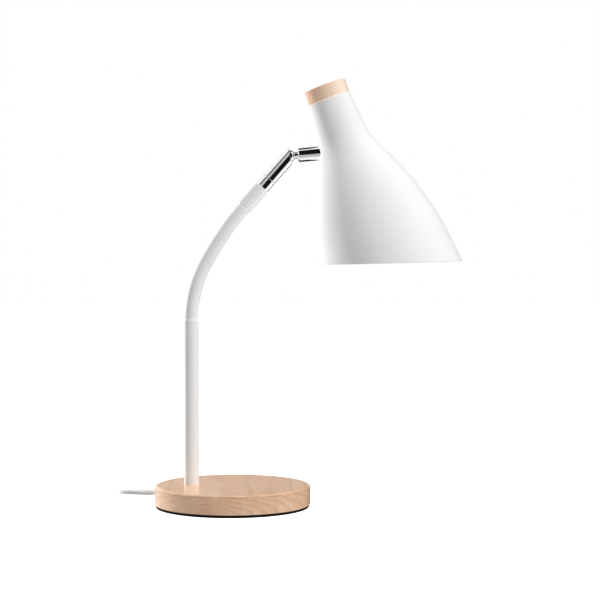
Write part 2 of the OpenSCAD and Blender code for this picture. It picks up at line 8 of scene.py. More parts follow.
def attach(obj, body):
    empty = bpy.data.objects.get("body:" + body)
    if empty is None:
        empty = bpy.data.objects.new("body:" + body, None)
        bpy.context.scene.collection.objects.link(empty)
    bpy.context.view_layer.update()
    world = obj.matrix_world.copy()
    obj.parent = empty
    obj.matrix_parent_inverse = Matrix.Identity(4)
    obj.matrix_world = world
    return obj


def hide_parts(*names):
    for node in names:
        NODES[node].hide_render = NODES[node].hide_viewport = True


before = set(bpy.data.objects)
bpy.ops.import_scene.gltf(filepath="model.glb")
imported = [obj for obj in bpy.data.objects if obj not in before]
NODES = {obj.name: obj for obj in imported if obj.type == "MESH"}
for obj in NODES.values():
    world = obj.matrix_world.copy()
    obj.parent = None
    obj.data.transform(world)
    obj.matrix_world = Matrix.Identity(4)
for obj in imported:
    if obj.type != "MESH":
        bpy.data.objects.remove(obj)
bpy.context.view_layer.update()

scene = bpy.context.scene
MM = 0.001
PI = math.pi


def sin(d):
    return math.sin(math.radians(d))


def cos(d):
    return math.cos(math.radians(d))


# ------------------------------------------------------------------
# the construction's own numbers, in millimetres
# ------------------------------------------------------------------
STEM_X, STEM_TOP, STEM_R = -41.0, 187.0, 7.5
BASE_TOP = 21.9
SLEEVE_R = 6.75
ARCS = ((60.0, 29.0), (45.0, 7.0), (16.5, 5.5))
NECK_LEN = 127.5
JOINT_FIRST, PITCH = 5.0, (127.5 - 5.0 - 6.0) / 8
NECK_DEG = 41.5
FLEX_D = 5.0


def neck(s):
    """Point on the neck's centre line and its lean, s mm above the stem's mouth."""
    if s <= 0:
        return Vector((STEM_X, 0, STEM_TOP + s)), 0.0
    p, a = Vector((STEM_X, 0, STEM_TOP)), 0.0
    for length, bend in ARCS:
        t = min(s, length)
        k = length / math.radians(bend)
        b = a + bend * t / length
        p = p + Vector((k * (cos(a) - cos(b)), 0, k * (sin(b) - sin(a))))
        s -= t
        a = b
        if s <= 0:
            return p, a
    return p + s * Vector((sin(a), 0, cos(a))), a


U = Vector((sin(NECK_DEG), 0, cos(NECK_DEG)))
FERRULE_P = neck(NECK_LEN)[0]
COLLAR_P = FERRULE_P + 26 * U
BALL_P = COLLAR_P + 41 * U
RISE, LEAN = 5.3, 20.0
E = Vector((cos(RISE), 0, sin(RISE)))
HEAD_P = Vector((
    BALL_P.x + 30 * cos(RISE) + 27.8 * cos(LEAN) - 61.2 * sin(LEAN), 0,
    BALL_P.z + 30 * sin(RISE) + 27.8 * sin(LEAN) + 61.2 * cos(LEAN)))
DOWN = Vector((sin(LEAN), 0, -cos(LEAN)))


def frame_at(origin, axis):
    """Millimetre frame whose Z runs along axis and whose Y is the lamp's Y."""
    z = axis.normalized()
    y = Vector((0, 1, 0))
    x = y.cross(z).normalized()
    m = Matrix.Identity(4)
    for i, v in enumerate((x, y, z)):
        m[0][i], m[1][i], m[2][i] = v
    return Matrix.Translation(origin) @ m


BASE_F = Matrix.Identity(4)
STEM_F = Matrix.Translation((STEM_X, 0, 0))
FERRULE_F = frame_at(FERRULE_P, U)
COLLAR_F = frame_at(COLLAR_P, U)
BALL_F = frame_at(BALL_P, E)
HEAD_F = frame_at(HEAD_P, -DOWN)
EXIT_DEG, EXIT_Z, EXIT_R = 162.0, 10.5, 77.8
EXIT_DIR = Vector((cos(EXIT_DEG), sin(EXIT_DEG), 0))
EXIT_P = EXIT_R * EXIT_DIR + Vector((0, 0, EXIT_Z))
SWITCH_P = Vector((-36, 91, 0))
COIL_P = Vector((30.5, 113.3, 0))
PLUG_P, PLUG_DEG = Vector((-15, 131.9, 6)), 200.0
SWITCH_F = Matrix.Translation(SWITCH_P)
PLUG_F = frame_at(PLUG_P, Vector((cos(PLUG_DEG), sin(PLUG_DEG), 0)))

SHADE_PTS = [(14, 21.9), (22, 22.3), (30, 23.0), (40, 24.0), (48, 24.8), (56, 26.1),
             (64, 28.4), (73, 32.2), (84, 37.7), (102, 46.0), (122, 53.6), (144, 59.9),
             (166, 64.5), (190, 67.9), (216, 70.4)]
MOUTH_RISE = 1.73


# ------------------------------------------------------------------
# camera
# ------------------------------------------------------------------
cam_data = bpy.data.cameras.new("Camera")
cam = bpy.data.objects.new("Camera", cam_data)
scene.collection.objects.link(cam)
cam_data.sensor_width = 36
cam_data.lens = 102.24
cam_data.clip_start, cam_data.clip_end = 0.05, 60
cam.location = (0.0675, -1.7, 0.2612)
cam.rotation_euler = (math.radians(90 - 1.836), 0, 0)
scene.camera = cam


# ------------------------------------------------------------------
# node helpers
# ------------------------------------------------------------------
class Mat:
    """A principled material with a short way to add and link nodes."""

    def __init__(self, name, color=(0.8, 0.8, 0.8), rough=0.5, metal=0.0, **sockets):
        self.m = bpy.data.materials.new(name)
        self.m.use_nodes = True
        self.t = self.m.node_tree
        self.b = self.t.nodes["Principled BSDF"]
        self.b.inputs["Base Color"].default_value = (*color, 1)
        self.b.inputs["Roughness"].default_value = rough
        self.b.inputs["Metallic"].default_value = metal
        for k, v in sockets.items():
            self.b.inputs[k.replace("_", " ")].default_value = v
        self.m.diffuse_color = (*color, 1)
        c = self.n("ShaderNodeTexCoord")
        self.obj = c.outputs["Object"]

    def n(self, kind, **props):
        node = self.t.nodes.new(kind)
        for k, v in props.items():
            setattr(node, k, v)
        return node

    def link(self, a, b):
        self.t.links.new(a, b)

    def mapping(self, src=None, loc=(0, 0, 0), rot=(0, 0, 0), scale=(1, 1, 1)):
        m = self.n("ShaderNodeMapping")
        m.inputs["Location"].default_value = loc
        m.inputs["Rotation"].default_value = rot
        m.inputs["Scale"].default_value = scale
        self.link(src or self.obj, m.inputs["Vector"])
        return m.outputs["Vector"]

    def noise(self, vec, scale, detail=3.0, rough=0.5, distortion=0.0):
        n = self.n("ShaderNodeTexNoise")
        n.inputs["Scale"].default_value = scale
        n.inputs["Detail"].default_value = detail
        n.inputs["Roughness"].default_value = rough
        n.inputs["Distortion"].default_value = distortion
        self.link(vec, n.inputs["Vector"])
        return n.outputs["Fac"]

    def math(self, op, a, b=None, c=None, clamp=False):
        n = self.n("ShaderNodeMath", operation=op, use_clamp=clamp)
        for i, v in enumerate((a, b, c)):
            if v is None:
                continue
            if isinstance(v, (int, float)):
                n.inputs[i].default_value = v
            else:
                self.link(v, n.inputs[i])
        return n.outputs[0]

    def ramp(self, fac, stops, interp="LINEAR"):
        n = self.n("ShaderNodeValToRGB")
        n.color_ramp.interpolation = interp
        el = n.color_ramp.elements
        while len(el) < len(stops):
            el.new(0.5)
        for e, (pos, col) in zip(el, stops):
            e.position = pos
            e.color = (*col, 1) if len(col) == 3 else col
        self.link(fac, n.inputs["Fac"])
        return n.outputs["Color"]

    def range(self, fac, a, b, c, d):
        n = self.n("ShaderNodeMapRange")
        for k, v in (("From Min", a), ("From Max", b), ("To Min", c), ("To Max", d)):
            n.inputs[k].default_value = v
        self.link(fac, n.inputs["Value"])
        return n.outputs["Result"]

    def mix(self, fac, a, b, mode="MIX"):
        n = self.n("ShaderNodeMix", data_type="RGBA", blend_type=mode)
        for sock, v in ((n.inputs[0], fac), (n.inputs[6], a), (n.inputs[7], b)):
            if isinstance(v, (int, float)):
                sock.default_value = v
            elif isinstance(v, tuple):
                sock.default_value = (*v, 1)
            else:
                self.link(v, sock)
        return n.outputs[2]

    def color(self, src):
        self.link(src, self.b.inputs["Base Color"])

    def rough(self, src):
        self.link(src, self.b.inputs["Roughness"])

    def bump(self, height, strength=0.1, distance=0.001, after=None):
        n = self.n("ShaderNodeBump")
        n.inputs["Strength"].default_value = strength
        n.inputs["Distance"].default_value = distance
        self.link(height, n.inputs["Height"])
        if after is not None:
            self.link(after, n.inputs["Normal"])
        self.link(n.outputs["Normal"], self.b.inputs["Normal"])
        return n.outputs["Normal"]


# ------------------------------------------------------------------
# materials
# ------------------------------------------------------------------
def beech(name, origin, axes_rot, ring_centre, ring_mm, tint=1.0, fleck=1.0, pale=None,
          wide=1.0, sway=0.016, rim=None):
    """Beech under a thin satin lacquer. Grain runs along the local Y; the growth
    rings are wide, soft cylinders about a line ring_centre below the board."""
    m = Mat(name, (0.62, 0.40, 0.26), 0.36)
    vec = m.mapping(loc=tuple(-v * MM for v in origin)) if origin else m.obj
    if axes_rot:
        vec = m.mapping(vec, rot=axes_rot)
    # slow wander of the grain, much longer along it than across
    wander = m.n("ShaderNodeTexNoise")
    wander.inputs["Scale"].default_value = 1.0
    wander.inputs["Detail"].default_value = 2.0
    m.link(m.mapping(vec, scale=(26, 5, 26)), wander.inputs["Vector"])
    off = m.n("ShaderNodeVectorMath", operation="SUBTRACT")
    m.link(wander.outputs["Color"], off.inputs[0])
    off.inputs[1].default_value = (0.5, 0.5, 0.5)
    amp = m.n("ShaderNodeVectorMath", operation="SCALE")
    m.link(off.outputs[0], amp.inputs[0])
    amp.inputs["Scale"].default_value = sway
    moved = m.n("ShaderNodeVectorMath", operation="ADD")
    m.link(vec, moved.inputs[0])
    m.link(amp.outputs[0], moved.inputs[1])
    sep = m.n("ShaderNodeSeparateXYZ")
    m.link(moved.outputs[0], sep.inputs[0])
    dx = m.math("SUBTRACT", sep.outputs[0], ring_centre[0] * MM)
    dx = m.math("MULTIPLY", dx, 1 / wide)
    dz = m.math("SUBTRACT", sep.outputs[2], ring_centre[1] * MM)
    r = m.math("SQRT", m.math("ADD", m.math("MULTIPLY", dx, dx), m.math("MULTIPLY", dz, dz)))
    phase = m.math("DIVIDE", r, ring_mm * MM)
    # each ring: slow darkening outward, then a quick step back
    saw = m.math("FRACT", phase)
    late = m.math("POWER", saw, 2.6)
    edge = m.range(saw, 0.90, 1.0, 1.0, 0.0)
    ring = m.math("MULTIPLY", late, edge)
    fade = m.range(m.noise(m.mapping(vec, scale=(30, 8, 30)), 1.0, 2), 0.3, 0.7, 0.35, 1.0)
    ring = m.math("MULTIPLY", ring, fade, clamp=True)
    # broad streaks along the grain
    broad = m.noise(m.mapping(vec, scale=(60, 4, 60)), 1.0, 3, 0.6)
    fine = m.noise(m.mapping(vec, scale=(900, 30, 900)), 1.0, 3, 0.6)
    tone = m.ramp(broad, [(0.30, tuple(c * tint for c in (0.66, 0.405, 0.255))),
                          (0.52, tuple(c * tint for c in (0.715, 0.465, 0.305))),
                          (0.72, tuple(c * tint for c in (0.76, 0.53, 0.37)))])
    tone = m.mix(m.range(fine, 0.3, 0.7, 0.0, 0.30), tone,
                 tuple(c * tint for c in (0.56, 0.335, 0.205)))
    tone = m.mix(m.math("MULTIPLY", ring, 0.62), tone,
                 tuple(c * tint for c in (0.44, 0.235, 0.135)))
    if pale:                # painted highlight: one side made paler, where the key light falls
        side = m.n("ShaderNodeSeparateXYZ")
        m.link(vec, side.inputs[0])
        tone = m.mix(m.range(side.outputs[0], pale[0] * MM, pale[1] * MM, 0.0, pale[2]), tone,
                     (0.98, 0.84, 0.71))
    if rim:                 # painted shade: a dark broken line where the top's rounding begins
        up = m.n("ShaderNodeSeparateXYZ")
        m.link(m.obj, up.inputs[0])
        line = m.math("MULTIPLY", m.range(up.outputs[2], (rim - 0.7) * MM, (rim - 0.1) * MM, 0.0, 1.0),
                      m.range(up.outputs[2], (rim + 0.1) * MM, (rim + 0.7) * MM, 1.0, 0.0))
        broken = m.range(m.noise(m.mapping(scale=(420, 420, 90)), 1.0, 2), 0.42, 0.60, 0.15, 1.0)
        tone = m.mix(m.math("MULTIPLY", m.math("MULTIPLY", line, broken), 0.8), tone,
                     (0.36, 0.19, 0.11))
    # ray flecks: short brown dashes, longer along the grain
    vor = m.n("ShaderNodeTexVoronoi", feature="F1", distance="EUCLIDEAN")
    vor.inputs["Scale"].default_value = 1.0
    m.link(m.mapping(vec, scale=(760, 210, 760)), vor.inputs["Vector"])
    dash = m.range(vor.outputs["Distance"], 0.10, 0.26, 1.0, 0.0)
    some = m.range(m.noise(m.mapping(vec, loc=(3, 1, 2), scale=(330, 110, 330)), 1.0, 1),
                   0.52, 0.60, 0.0, 1.0)
    dash = m.math("MULTIPLY", dash, some, clamp=True)
    tone = m.mix(m.math("MULTIPLY", dash, 0.40 * fleck), tone, (0.30, 0.145, 0.075))
    m.color(tone)
    m.rough(m.range(fine, 0.2, 0.8, 0.30, 0.42))
    m.b.inputs["Coat Weight"].default_value = 0.55
    m.b.inputs["Coat Roughness"].default_value = 0.16
    m.b.inputs["Coat IOR"].default_value = 1.5
    m.b.inputs["Specular IOR Level"].default_value = 0.45
    height = m.math("SUBTRACT", fine, m.math("MULTIPLY", dash, 0.8))
    m.bump(height, 0.10, 0.00025)
    return m.m


def paint(name, color, rough, peel=0.05, coat=0.0):
    """Powder paint: a faint orange peel and slightly uneven gloss."""
    m = Mat(name, color, rough)
    m.b.inputs["Coat Weight"].default_value = coat
    m.b.inputs["Coat Roughness"].default_value = 0.2
    cells = m.noise(m.obj, 950, 2, 0.5)
    slow = m.noise(m.obj, 14, 2, 0.5)
    tint = tuple(c * 0.985 for c in color)
    m.color(m.mix(m.range(slow, 0.35, 0.65, 0.0, 1.0), color, tint))
    m.rough(m.range(cells, 0.25, 0.75, rough - 0.03, rough + 0.03))
    m.bump(cells, peel, 0.0002)
    return m.m


def plated(name, color, rough, brushed=None):
    """Plated or bare metal. brushed is the long axis of its fine turning marks."""
    m = Mat(name, color, rough, 1.0)
    smear = m.noise(m.obj, 70, 4, 0.6)
    if brushed is None:
        hair = m.noise(m.mapping(rot=(0.4, 0.9, 0.2), scale=(500, 3000, 900)), 1.0, 2)
        m.rough(m.range(smear, 0.3, 0.75, rough, rough + 0.035))
        m.bump(hair, 0.012, 0.00005)
    else:
        scale = [2600, 2600, 2600]
        scale[brushed] = 60
        hair = m.noise(m.mapping(scale=tuple(scale)), 1.0, 3, 0.7)
        m.rough(m.range(hair, 0.25, 0.75, rough - 0.06, rough + 0.08))
        m.bump(hair, 0.08, 0.0001)
    m.color(m.mix(m.range(smear, 0.3, 0.7, 0.0, 1.0), color, tuple(c * 0.95 for c in color)))
    return m.m


def moulded(name, color, rough, grain=1400, depth=0.06, **sockets):
    """Moulded plastic or rubber with a fine surface grain."""
    m = Mat(name, color, rough, 0.0, **sockets)
    fine = m.noise(m.obj, grain, 2, 0.55)
    slow = m.noise(m.obj, 38, 3, 0.5)
    m.color(m.mix(m.range(slow, 0.3, 0.7, 0.0, 1.0), color, tuple(c * 0.955 for c in color)))
    m.rough(m.range(fine, 0.3, 0.7, max(rough - 0.05, 0.05), rough + 0.05))
    m.bump(fine, depth, 0.0002)
    return m.m


# rim= paints a dark line of shade along the top edge's rounding
M_BASE = beech("beech_base", None, None, (-11.0, 1.5), 3.9, 1.22, wide=3.1, sway=0.009,
               rim=19.7)
# the cap's paler side (pale=) is a painted highlight where the key light falls
M_CAP = beech("beech_cap", HEAD_P, (0, 0, 0), (70.0, 4.0), 3.4, 1.22, 1.0,
              pale=(-12.0, 18.0, 0.80))
M_PAINT = paint("white_paint_satin", (0.86, 0.86, 0.857), 0.42, 0.035)
# greyer copy of the white paint: painted shade for the inside of the shell
M_SHADED_INSIDE = paint("white_paint_inside_shaded", (0.68, 0.68, 0.675), 0.6, 0.05)
M_SLEEVE = paint("white_sleeve_satin", (0.85, 0.85, 0.85), 0.44, 0.03)
M_CHROME = plated("chrome_polished", (0.90, 0.90, 0.91), 0.02)
M_STEEL = plated("steel_zinc", (0.58, 0.585, 0.60), 0.30, 0)
M_BRASS = plated("brass_turned", (0.80, 0.62, 0.30), 0.24, 2)
M_PAD = moulded("black_pad", (0.007, 0.007, 0.008), 0.8, 620, 0.22, Specular_IOR_Level=0.12)
M_FLEX = moulded("grey_flex", (0.80, 0.80, 0.80), 0.46, 900, 0.05)
M_WIRE = moulded("brown_wire", (0.14, 0.055, 0.03), 0.42, 900, 0.05)
M_WHITE = moulded("white_plastic", (0.84, 0.84, 0.83), 0.30, 1100, 0.03)
M_IVORY = moulded("ivory_plastic", (0.78, 0.75, 0.66), 0.52, 900, 0.06)
M_DARK = moulded("dark_plastic", (0.028, 0.028, 0.030), 0.48, 1000, 0.08)
M_TIE = moulded("tie_strap", (0.05, 0.05, 0.052), 0.8, 500, 0.25, Sheen_Weight=0.4)


def dress(node, mat):
    me = NODES[node].data
    me.materials.clear()
    me.materials.append(mat)


for names, mat in (
    ("wood_base", M_BASE), ("wood_cap", M_CAP),
    ("stem_tube neck_ferrule shade_shell", M_PAINT),
    ("neck_socket " + " ".join(f"neck_sleeve_{i}" for i in range(1, 9)), M_SLEEVE),
    ("knuckle_collar knuckle_body ball_stud shade_arm", M_CHROME),
    ("weight_plate plate_screws stem_nut stem_washer clamp_screws neck_end_fitting "
     "arm_washer arm_nut switch_screws "
     + " ".join(f"neck_core_{i}" for i in range(1, 9)), M_STEEL),
    ("stem_nipple cap_nipple contact_sleeve centre_contact switch_contacts plug_blades",
     M_BRASS),
    ("base_pad", M_PAD),
    ("cord_lead_a cord_lead_b cord_lead_c cord_coil inner_lead", M_FLEX),
    ("stem_wires head_wires", M_WIRE),
    ("holder_cap holder_body switch_lower_shell switch_upper_shell plug_body "
     "cord_bushing cord_clamp", M_WHITE),
    ("ball_seat holder_insulator", M_IVORY), ("switch_rocker", M_DARK),
    ("cord_tie", M_TIE),
):
    for node_name in names.split():
        dress(node_name, mat)


# ------------------------------------------------------------------
# mesh helpers (all take millimetres)
# ------------------------------------------------------------------
def fillet(pts, radii, seg=6, closed=False):
    """A polyline whose corners are rounded, each by its own radius."""
    out, n = [], len(pts)
    for i in range(n):
        p, r = Vector(pts[i]), radii[i]
        if r <= 0 or (not closed and i in (0, n - 1)):
            out.append(p)
            continue
        a, b = Vector(pts[i - 1]) - p, Vector(pts[(i + 1) % n]) - p
        la, lb = a.length, b.length
        a, b = a / la, b / lb
        ang = a.angle(b)
        if ang > PI - 0.02:
            out.append(p)
            continue
        t = min(r / math.tan(ang / 2), 0.48 * la, 0.48 * lb)
        r = t * math.tan(ang / 2)
        c = p + (a + b).normalized() * (r / math.sin(ang / 2))
        v0, v1 = p + a * t - c, p + b * t - c
        th = v0.angle(v1)
        turn = 1 if v0.x * v1.y - v0.y * v1.x > 0 else -1
        for k in range(seg + 1):
            w = turn * th * k / seg
            out.append(c + Vector((v0.x * math.cos(w) - v0.y * math.sin(w),
                                   v0.x * math.sin(w) + v0.y * math.cos(w))))
    return out


def build(name, verts, faces, mat, body=None, stand_for=(), slot=None, sharp=42,
          weighted=True, smooth=True):
    me = bpy.data.meshes.new(name)
    me.from_pydata([tuple(Vector(v) * MM) for v in verts], [], faces)
    bm = bmesh.new()
    bm.from_mesh(me)
    bmesh.ops.remove_doubles(bm, verts=bm.verts, dist=1e-7)
    bmesh.ops.recalc_face_normals(bm, faces=bm.faces)
    bm.to_mesh(me)
    bm.free()
    if smooth:
        me.shade_smooth()
        if sharp:
            me.set_sharp_from_angle(angle=math.radians(sharp))
    me.materials.append(mat)
    o = bpy.data.objects.new(name, me)
    scene.collection.objects.link(o)
    if weighted:
        w = o.modifiers.new("WeightedNormal", "WEIGHTED_NORMAL")
        w.keep_sharp = True
    if body:
        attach(o, body)
    if stand_for:
        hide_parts(*stand_for)
    return o


def grid_faces(rows, cols, close_rows=False, close_cols=True, start=0):
    """Quads of a grid of rows x cols vertices, cols around."""
    faces = []
    for i in range(rows if close_rows else rows - 1):
        for j in range(cols if close_cols else cols - 1):
            a = start + i * cols + j
            b = start + i * cols + (j + 1) % cols
            c = start + ((i + 1) % rows) * cols + (j + 1) % cols
            d = start + ((i + 1) % rows) * cols + j
            faces.append((a, b, c, d))
    return faces


def lathe_data(profile, n, m, closed=True):
    """Revolves (r, z) points about the Z of frame m. Points on the axis become poles."""
    verts, rings = [], []
    for r, z in profile:
        if abs(r) < 1e-6:
            rings.append([len(verts)])
            verts.append(m @ Vector((0, 0, z)))
        else:
            rings.append(list(range(len(verts), len(verts) + n)))
            verts += [m @ Vector((r * math.cos(2 * PI * k / n), r * math.sin(2 * PI * k / n), z))
                      for k in range(n)]
    faces = []
    pairs = list(zip(rings, rings[1:]))
    if closed and (len(rings[0]) > 1 or len(rings[-1]) > 1):
        pairs.append((rings[-1], rings[0]))
    for a, b in pairs:
        if len(a) == 1 and len(b) == 1:
            continue
        for k in range(n):
            q = (k + 1) % n
            if len(a) == 1:
                faces.append((a[0], b[q], b[k]))
            elif len(b) == 1:
                faces.append((a[k], a[q], b[0]))
            else:
                faces.append((a[k], a[q], b[q], b[k]))
    return verts, faces


def lathe(name, profile, n, m, mat, **kw):
    closed = kw.pop("closed", True)
    v, f = lathe_data(profile, n, m, closed)
    return build(name, v, f, mat, **kw)


def merge_data(*parts):
    verts, faces = [], []
    for v, f in parts:
        k = len(verts)
        verts += list(v)
        faces += [tuple(i + k for i in face) for face in f]
    return verts, faces


def round_rect(w, h, r, n):
    out = []
    for cx, cy, a0 in ((w / 2 - r, h / 2 - r, 0), (r - w / 2, h / 2 - r, 90),
                       (r - w / 2, r - h / 2, 180), (w / 2 - r, r - h / 2, 270)):
        out += [(cx + r * cos(a0 + 90 * k / n), cy + r * sin(a0 + 90 * k / n))
                for k in range(n + 1)]
    return out


def loft(sections, m, cap=True):
    """Skins rings of equal length given as ([(x, y), ...], z)."""
    verts = [m @ Vector((x, y, z)) for ring, z in sections for x, y in ring]
    n = len(sections[0][0])
    faces = grid_faces(len(sections), n)
    if cap:
        faces.append(tuple(range(n))[::-1])
        faces.append(tuple(range((len(sections) - 1) * n, len(sections) * n)))
    return verts, faces


# ------------------------------------------------------------------
# flex: one curve from the base to the plug
# ------------------------------------------------------------------
def smoothstep(x):
    x = max(0.0, min(1.0, x))
    return x * x * (3 - 2 * x)


def coil_point(phi):
    """Turns lie in two layers: four turns on the table, three in their grooves."""
    az = phi % 360
    steps = [(460, 35.5, 30.6), (820, 30.6, 25.7), (1180, 25.7, 20.8),
             (1540, 20.8, 23.2), (1900, 23.2, 28.1), (2260, 28.1, 33.0)]
    r = 35.5
    for start, a, b in steps:
        if phi >= start:
            r = a + (b - a) * smoothstep((phi - start) / 125)
    z = 2.9
    if phi > 1430:          # the innermost turn climbs
        z = 2.9 + 5.0 * smoothstep((phi - 1430) / 180)
    if phi > 1600:
        groove = smoothstep((phi - 1640) / 30) if phi < 1700 else 1.0
        over = 0.0
        d = (phi - 460) % 360          # 0..125 is where turns change places
        if d <= 125:
            over = 1.0
        elif d < 150:
            over = 1 - smoothstep((d - 125) / 25)
        elif d > 335:
            over = smoothstep((d - 335) / 25)
        z = 7.9 - 0.67 * groove * (1 - over)
    return Vector((COIL_P.x + r * cos(az), COIL_P.y + r * sin(az), z))


LEAD_A = [EXIT_P, EXIT_P + 4.5 * EXIT_DIR - Vector((0, 0, 0.2)),
          EXIT_P + 9 * EXIT_DIR - Vector((0, 0, 0.6))] + [Vector(p) for p in (
    (-87.8, 28.7, 9.5), (-93, 30.5, 9.3), (-102, 34.5, 9.1), (-110, 40, 8.9),
    (-115.5, 47.5, 8.1), (-118, 56.5, 6.8), (-116.5, 66, 5.2), (-111, 74, 3.8),
    (-103, 79.5, 2.9), (-94, 83, 2.5), (-84.5, 86, 2.5), (-77, 88.4, 3.4),
    (-70, 90.4, 4.7), (-64, 91, 5.0))]
SWITCH_RUN = [Vector(p) for p in ((-56, 91, 5), (-46, 91, 5), (-36, 91, 5), (-26, 91, 5),
                                  (-16, 91, 5), (-8, 91, 5))]
LEAD_B = [Vector(p) for p in ((-2, 90.4, 4.6), (4, 88.6, 3.9), (10, 85.3, 3.3),
                              (16.5, 81.1, 3.0), (23.2, 78.65, 2.9))]
COIL = [coil_point(270 + 360 * k / 18) for k in range(int((2630 - 270) / 20) + 1)]
LEAD_C = [Vector(p) for p in ((13.4, 142.15, 7.9), (7.5, 140, 7.9), (0.5, 137.5, 7.5),
                              (-7.2, 134.7, 6.6), (-15, 131.9, 6))]
_d = (PLUG_F.to_3x3() @ Vector((0, 0, 1)))
LEAD_C += [PLUG_P + 7 * _d, PLUG_P + 15 * _d, PLUG_P + 24 * _d]
ROUTE = LEAD_A + SWITCH_RUN + LEAD_B + COIL + LEAD_C

curve = bpy.data.curves.new("flex_cord", "CURVE")
curve.dimensions = "3D"
curve.bevel_depth = FLEX_D / 2 * MM
curve.bevel_resolution = 5
curve.resolution_u = 5
curve.use_fill_caps = True
spline = curve.splines.new("BEZIER")
spline.bezier_points.add(len(ROUTE) - 1)
for i, p in enumerate(ROUTE):
    bp = spline.bezier_points[i]
    bp.co = p * MM
    # handles along the chord of the two neighbours, a third of each span
    a = ROUTE[max(i - 1, 0)]
    b = ROUTE[min(i + 1, len(ROUTE) - 1)]
    t = (b - a).normalized()
    bp.handle_left_type = bp.handle_right_type = "FREE"
    bp.handle_left = (p - t * (p - a).length / 3) * MM
    bp.handle_right = (p + t * (b - p).length / 3) * MM
curve.materials.append(M_FLEX)
flex = bpy.data.objects.new("flex_cord", curve)
scene.collection.objects.link(flex)
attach(flex, "root")
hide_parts("cord_lead_a", "cord_coil", "cord_lead_b", "cord_lead_c")


# ------------------------------------------------------------------
# stem
# ------------------------------------------------------------------
stem_profile = fillet(
    [(4.95, BASE_TOP), (STEM_R, BASE_TOP), (STEM_R, 60), (STEM_R, 120), (STEM_R, STEM_TOP),
     (6.92, STEM_TOP), (6.92, STEM_TOP - 9), (6.5, STEM_TOP - 10), (6.5, 34), (4.95, 34)],
    [0, 0.12, 0, 0, 0.30, 0.25, 0, 0, 0, 0], 5)
lathe("stem", stem_profile, 72, STEM_F, M_PAINT, body="root", stand_for=("stem_tube",),
      slot="white_paint")

# turned plug in the stem's mouth, with the first ball cup of the neck
J1 = neck(JOINT_FIRST)[0]
cup = [(4.3 * math.cos(math.radians(a)), J1.z + 4.3 * math.sin(math.radians(a)))
       for a in range(24, -50, -8)]
plug_profile = fillet([(2.6, 165), (6.42, 165), (6.42, 168), (5.9, 168.4), (5.9, 170.4),
                       (6.42, 170.8), (6.42, 186.2), (5.0, 187.4), (5.0, cup[0][1]), cup[0]],
                      [0.2, 0.4, 0, 0, 0, 0, 0.3, 0.2, 0.2, 0], 4) + \
    [Vector(c) for c in cup[1:]] + [Vector((2.6, cup[-1][1] - 0.4))]
lathe("neck_plug", plug_profile, 48, STEM_F, M_STEEL, body="root",
      stand_for=("neck_socket",), slot="steel")

# ------------------------------------------------------------------
# neck sleeve: one smooth skin at rest, cut at the joints. The lower end of each
# length is a ball zone that turns inside the length below, so that no gap opens
# on the outer side of a bend
# ------------------------------------------------------------------
CUTS = [-6.0] + [JOINT_FIRST + k * PITCH for k in range(9)] + [NECK_LEN + 4.5]
BODIES = ["root"] + [f"neck_{k}" for k in range(1, 9)] + ["ferrule"]
COLS = 64
INNER_R = 6.0


def neck_ring(s, r):
    p, a = neck(s)
    x = Vector((cos(a), 0, -sin(a)))
    y = Vector((0, 1, 0))
    return [p + r * (math.cos(2 * PI * k / COLS) * x + math.sin(2 * PI * k / COLS) * y)
            for k in range(COLS)]


for k in range(10):
    lo, hi = CUTS[k], CUTS[k + 1]
    n = max(8, round((hi - lo) / 0.9))
    spans = [(lo + (hi - lo) * i / n, SLEEVE_R) for i in range(n + 1)]
    top = hi
    if k < 9:                   # hollow for the next length's ball zone
        spans += [(hi - t, math.sqrt(6.72 ** 2 - t * t)) for t in (0.0, 0.4, 0.9, 1.4, 1.9, 2.35, 2.7)]
        top = hi - 2.75
    bottom = lo - 1.2 if k > 0 else lo
    spans += [(top - (top - bottom) * i / n, INNER_R) for i in range(n + 1)]
    if k > 0:                   # ball zone
        spans += [(lo - t, math.sqrt(6.69 ** 2 - t * t)) for t in (1.2, 0.9, 0.6, 0.3, 0.0)]
    rings = [neck_ring(s, r) for s, r in spans]
    o = build(f"sleeve_{k + 1}", [v for ring in rings for v in ring],
              grid_faces(len(rings), COLS, close_rows=True), M_SLEEVE, body=BODIES[k],
              slot="white_sleeve", sharp=50)
    if 0 < k < 9:
        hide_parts(f"neck_sleeve_{k}")

# white ferrule: its lower mouth has a soft lip over the sleeve
lathe("ferrule", fillet(
    [(6.9, -0.1), (7.7, -0.1), (8.0, 0.9), (8.0, 10), (8.0, 26), (4.98, 26), (4.98, 16.2), (6.02, 16.2),
     (6.02, 5.0), (6.9, 4.6)],
    [0.25, 0.4, 0.5, 0, 0.35, 0.2, 0, 0.2, 0, 0.2], 5), 72, FERRULE_F, M_PAINT,
    body="ferrule", stand_for=("neck_ferrule",), slot="white_paint")

# ------------------------------------------------------------------
# knuckle
# ------------------------------------------------------------------
KR = 7.35
lathe("collar", fillet(
    [(4.98, 0.03), (KR, 0.03), (KR, 5), (KR, 10.8), (4.5, 10.8), (4.5, 17.5), (2.5, 17.5),
     (2.5, 8), (4.98, 8)], [0.2, 0.3, 0, 0.4, 0, 0.4, 0.2, 0, 0], 6), 96, COLLAR_F, M_CHROME,
    body="ferrule", stand_for=("knuckle_collar",), slot="chrome")

MOUTH_N = Vector((cos(11), 0, sin(11)))
ball_c = COLLAR_F.inverted() @ BALL_P                       # in the collar's frame
mouth_n = COLLAR_F.to_3x3().inverted() @ MOUTH_N
MOUTH_OFF, SOCKET_R = 1.0, 6.1


def cut_z(x, y, off):
    """Height in the collar's frame of the slanted plane off mm beyond the ball centre."""
    return ball_c.z + (off - mouth_n.x * x - mouth_n.y * y) / mouth_n.z


